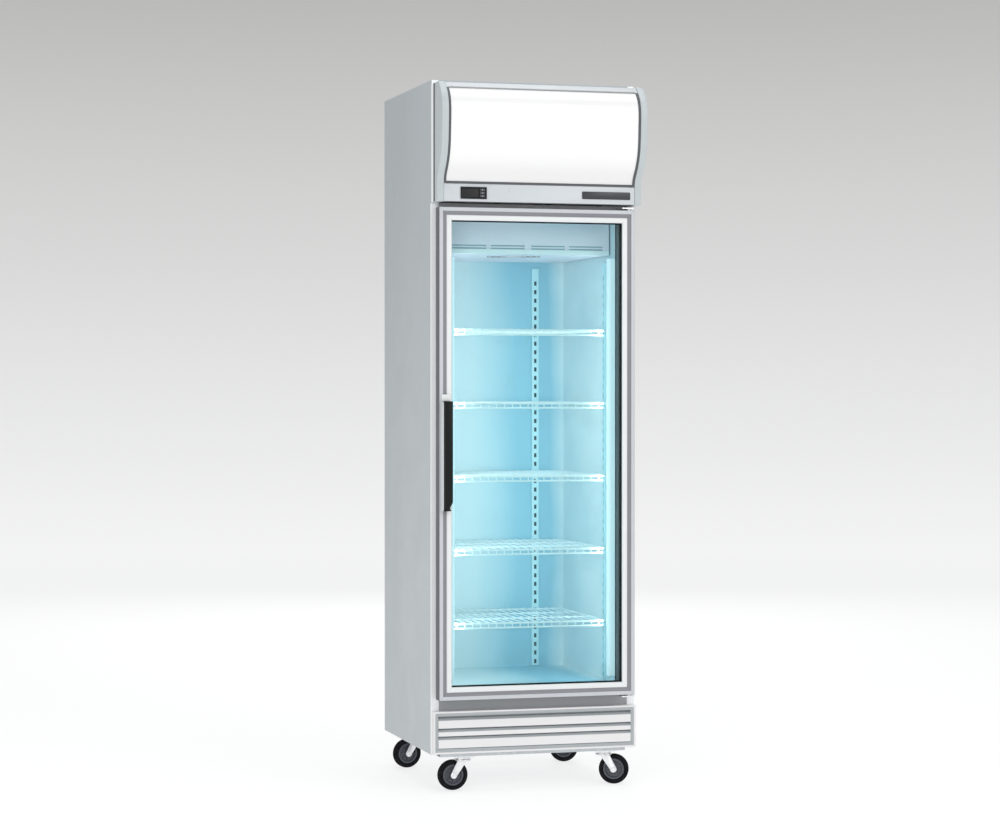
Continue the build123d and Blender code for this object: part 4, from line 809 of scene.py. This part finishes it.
def hex_nut(name, centre, axis, body):
    """A chamfered hexagon nut on a flat round washer, its outer end away from the wheel."""
    washer = ((0.0, 9.4), (0.3, 9.6), (1.0, 9.6), (1.3, 9.3))       # (along, radius), millimetres
    nut = ((1.3, 6.6), (1.3, 7.4), (5.6, 7.4), (6.4, 6.5))
    side = axis.cross(UP).normalized()
    verts, faces = [], []
    for levels, count in ((washer, 32), (nut, 6)):
        base = len(verts)
        for along, radius in levels:
            for k in range(count):
                turn = 2 * pi * k / count
                out = side * cos(turn) + UP * sin(turn)
                verts.append(centre + axis * along * MM + out * radius * MM)
        faces += [tuple(base + i for i in face) for face in tube_faces(len(levels), count)]
    piece(name, verts, faces, body, ["zinc"], slot="zinc", angle=25)


for name in CASTERS:
    roll, swivel = JOINTS[f"caster_{name}_roll"], JOINTS[f"caster_{name}_swivel"]
    centre = Vector(roll["pos_m"])
    axis = Vector(roll["axis"]).normalized()
    wheel = f"caster_wheel_{name}"
    verts, faces = lathe(TYRE_SECTION, centre, axis, 72)
    piece(f"tyre_{name}", verts, faces, wheel, ["tyre"], replaces=(wheel,), slot="wheel_rubber", angle=50)
    verts, faces = lathe(HUB_SECTION, centre, axis, 56)
    for k in range(RIBS):
        rib_verts, rib_faces = hub_rib(centre, axis, 2 * pi * k / RIBS)
        faces += [tuple(len(verts) + i for i in face) for face in rib_faces]
        verts += rib_verts
    piece(f"hub_{name}", verts, faces, wheel, ["hub"], replaces=(wheel,), slot="black_plastic")
    fork = f"caster_fork_{name}"
    softened(fork, 0.7 * MM, "zinc", least=40)
    for side, tag in ((-1, "inner"), (1, "outer")):
        hex_nut(f"axle_nut_{tag}_{name}", centre + axis * side * NUT_REACH, axis * side, fork)
    pin = Vector(swivel["pos_m"])
    verts, faces = lathe(RACE_SECTION, Vector((pin.x, pin.y, high(fork).z - RACE_DROP)), UP, 56)
    piece(f"swivel_race_{name}", verts, faces, fork, ["zinc"], slot="zinc")


# Stage, lights and camera ------------------------------------------------------------------
def backdrop_paper_painted_light():
    """Dull paper with painted light: it glows of itself, near white at the floor and greyer with height."""
    s = Shade("backdrop_paper_painted_light")
    fade = s.span(s.along("Z"), 0.0, 5.0, 0.0, 1.0)
    color = s.ramp(fade, [(0.0, (0.34, 0.34, 0.34)), (1.0, (0.16, 0.16, 0.16))])
    glow = s.ramp(fade, [(0.0, (0.72, 0.72, 0.72)), (0.12, (0.66, 0.66, 0.66)),
                         (0.45, (0.52, 0.52, 0.515)), (0.9, (0.37, 0.365, 0.36))])
    s.principled(color, 0.9, s.bump(s.noise(3.0, 3.0, 0.5), 0.02, 0.002), emission_color=glow,
                 emission_strength=1.0, specular_ior_level=0.0)
    return s.mat


def backdrop():
    """A round floor that curves up into a wall on every side."""
    flat, bend, top, segments = 11.0, 3.0, 9.0, 96
    profile = [(0.02, 0.0), (4.0, 0.0), (flat, 0.0)]
    for step in range(1, 16):
        rise = radians(6 * step)
        profile.append((flat + bend * sin(rise), bend - bend * cos(rise)))
    profile.append((flat + bend, top))
    turns = [2 * pi * k / segments for k in range(segments)]
    verts = [(r * cos(t), r * sin(t), z) for r, z in profile for t in turns]
    faces = []
    for ring in range(len(profile) - 1):
        near, far = ring * segments, (ring + 1) * segments
        for k in range(segments):
            after = (k + 1) % segments
            faces.append((near + k, far + k, far + after, near + after))
    faces.append(tuple(range(segments)))
    mesh = bpy.data.meshes.new("floor")
    mesh.from_pydata(verts, [], faces)
    mesh.update()
    mesh.materials.append(backdrop_paper_painted_light())
    for face in mesh.polygons:
        face.use_smooth = True
    floor = bpy.data.objects.new("floor", mesh)
    bpy.context.scene.collection.objects.link(floor)


def area_light(name, place, target, size, power, color=(1.0, 1.0, 1.0)):
    """A rectangular lamp at a place, facing a target; power in watts."""
    light = bpy.data.lights.new(name, "AREA")
    light.shape = "RECTANGLE"
    light.size, light.size_y = size
    light.energy = power
    light.color = color
    obj = bpy.data.objects.new(name, light)
    obj.location = place
    obj.rotation_euler = (Vector(target) - Vector(place)).to_track_quat("-Z", "Y").to_euler()
    bpy.context.scene.collection.objects.link(obj)
    return obj


backdrop()
area_light("key_light", (2.6, -5.2, 3.6), (0, 0, 1.1), (3.0, 3.0), 72)
area_light("fill_light", (-3.3, -5.2, 2.4), (0, 0, 1.0), (2.2, 3.5), 75)
area_light("top_light", (0.0, -0.5, 5.2), (0, 0, 0.8), (4.0, 3.0), 70)
area_light("back_light", (1.5, 6.0, 3.6), (0, 0, 1.2), (2.5, 2.5), 90)

world = bpy.data.worlds.new("studio_world")
bpy.context.scene.world = world
world.use_nodes = True
sky = world.node_tree.nodes["Background"]
sky.inputs["Color"].default_value = (0.93, 0.96, 1.0, 1.0)
sky.inputs["Strength"].default_value = 0.45

# Lamps inside the cabinet: one soft strip beside each front jamb.
LAMP_HEIGHT = 0.94                      # the middle of each strip, above the floor
LAMP_X = 0.226
for side in (-1, 1):
    strip = area_light(f"interior_strip_{side + 1}", (side * LAMP_X, FRONT + 0.05, LAMP_HEIGHT),
                       (-side * 0.1, FRONT + 0.40, LAMP_HEIGHT), (0.03, 1.2), 0.95, (0.90, 0.98, 1.0))
    strip.data.spread = radians(150)

CAMERA_PLACE = (-2.18925, -7.50909, 1.16598)
CAMERA_DIP = 0.438                       # degrees below level
CAMERA_TURN = -15.992                    # degrees about Z, from looking along +Y
CAMERA_LENS = 93.2256                    # millimetres, on a sensor 36 mm wide
camera = bpy.data.cameras.new("camera")
camera.lens = CAMERA_LENS
camera.sensor_width = 36.0
camera.dof.use_dof = False
camera_obj = bpy.data.objects.new("camera", camera)
camera_obj.location = CAMERA_PLACE
camera_obj.rotation_euler = (radians(90 - CAMERA_DIP), 0.0, radians(CAMERA_TURN))
bpy.context.scene.collection.objects.link(camera_obj)
bpy.context.scene.camera = camera_obj
bpy.context.scene.view_settings.view_transform = "Standard"
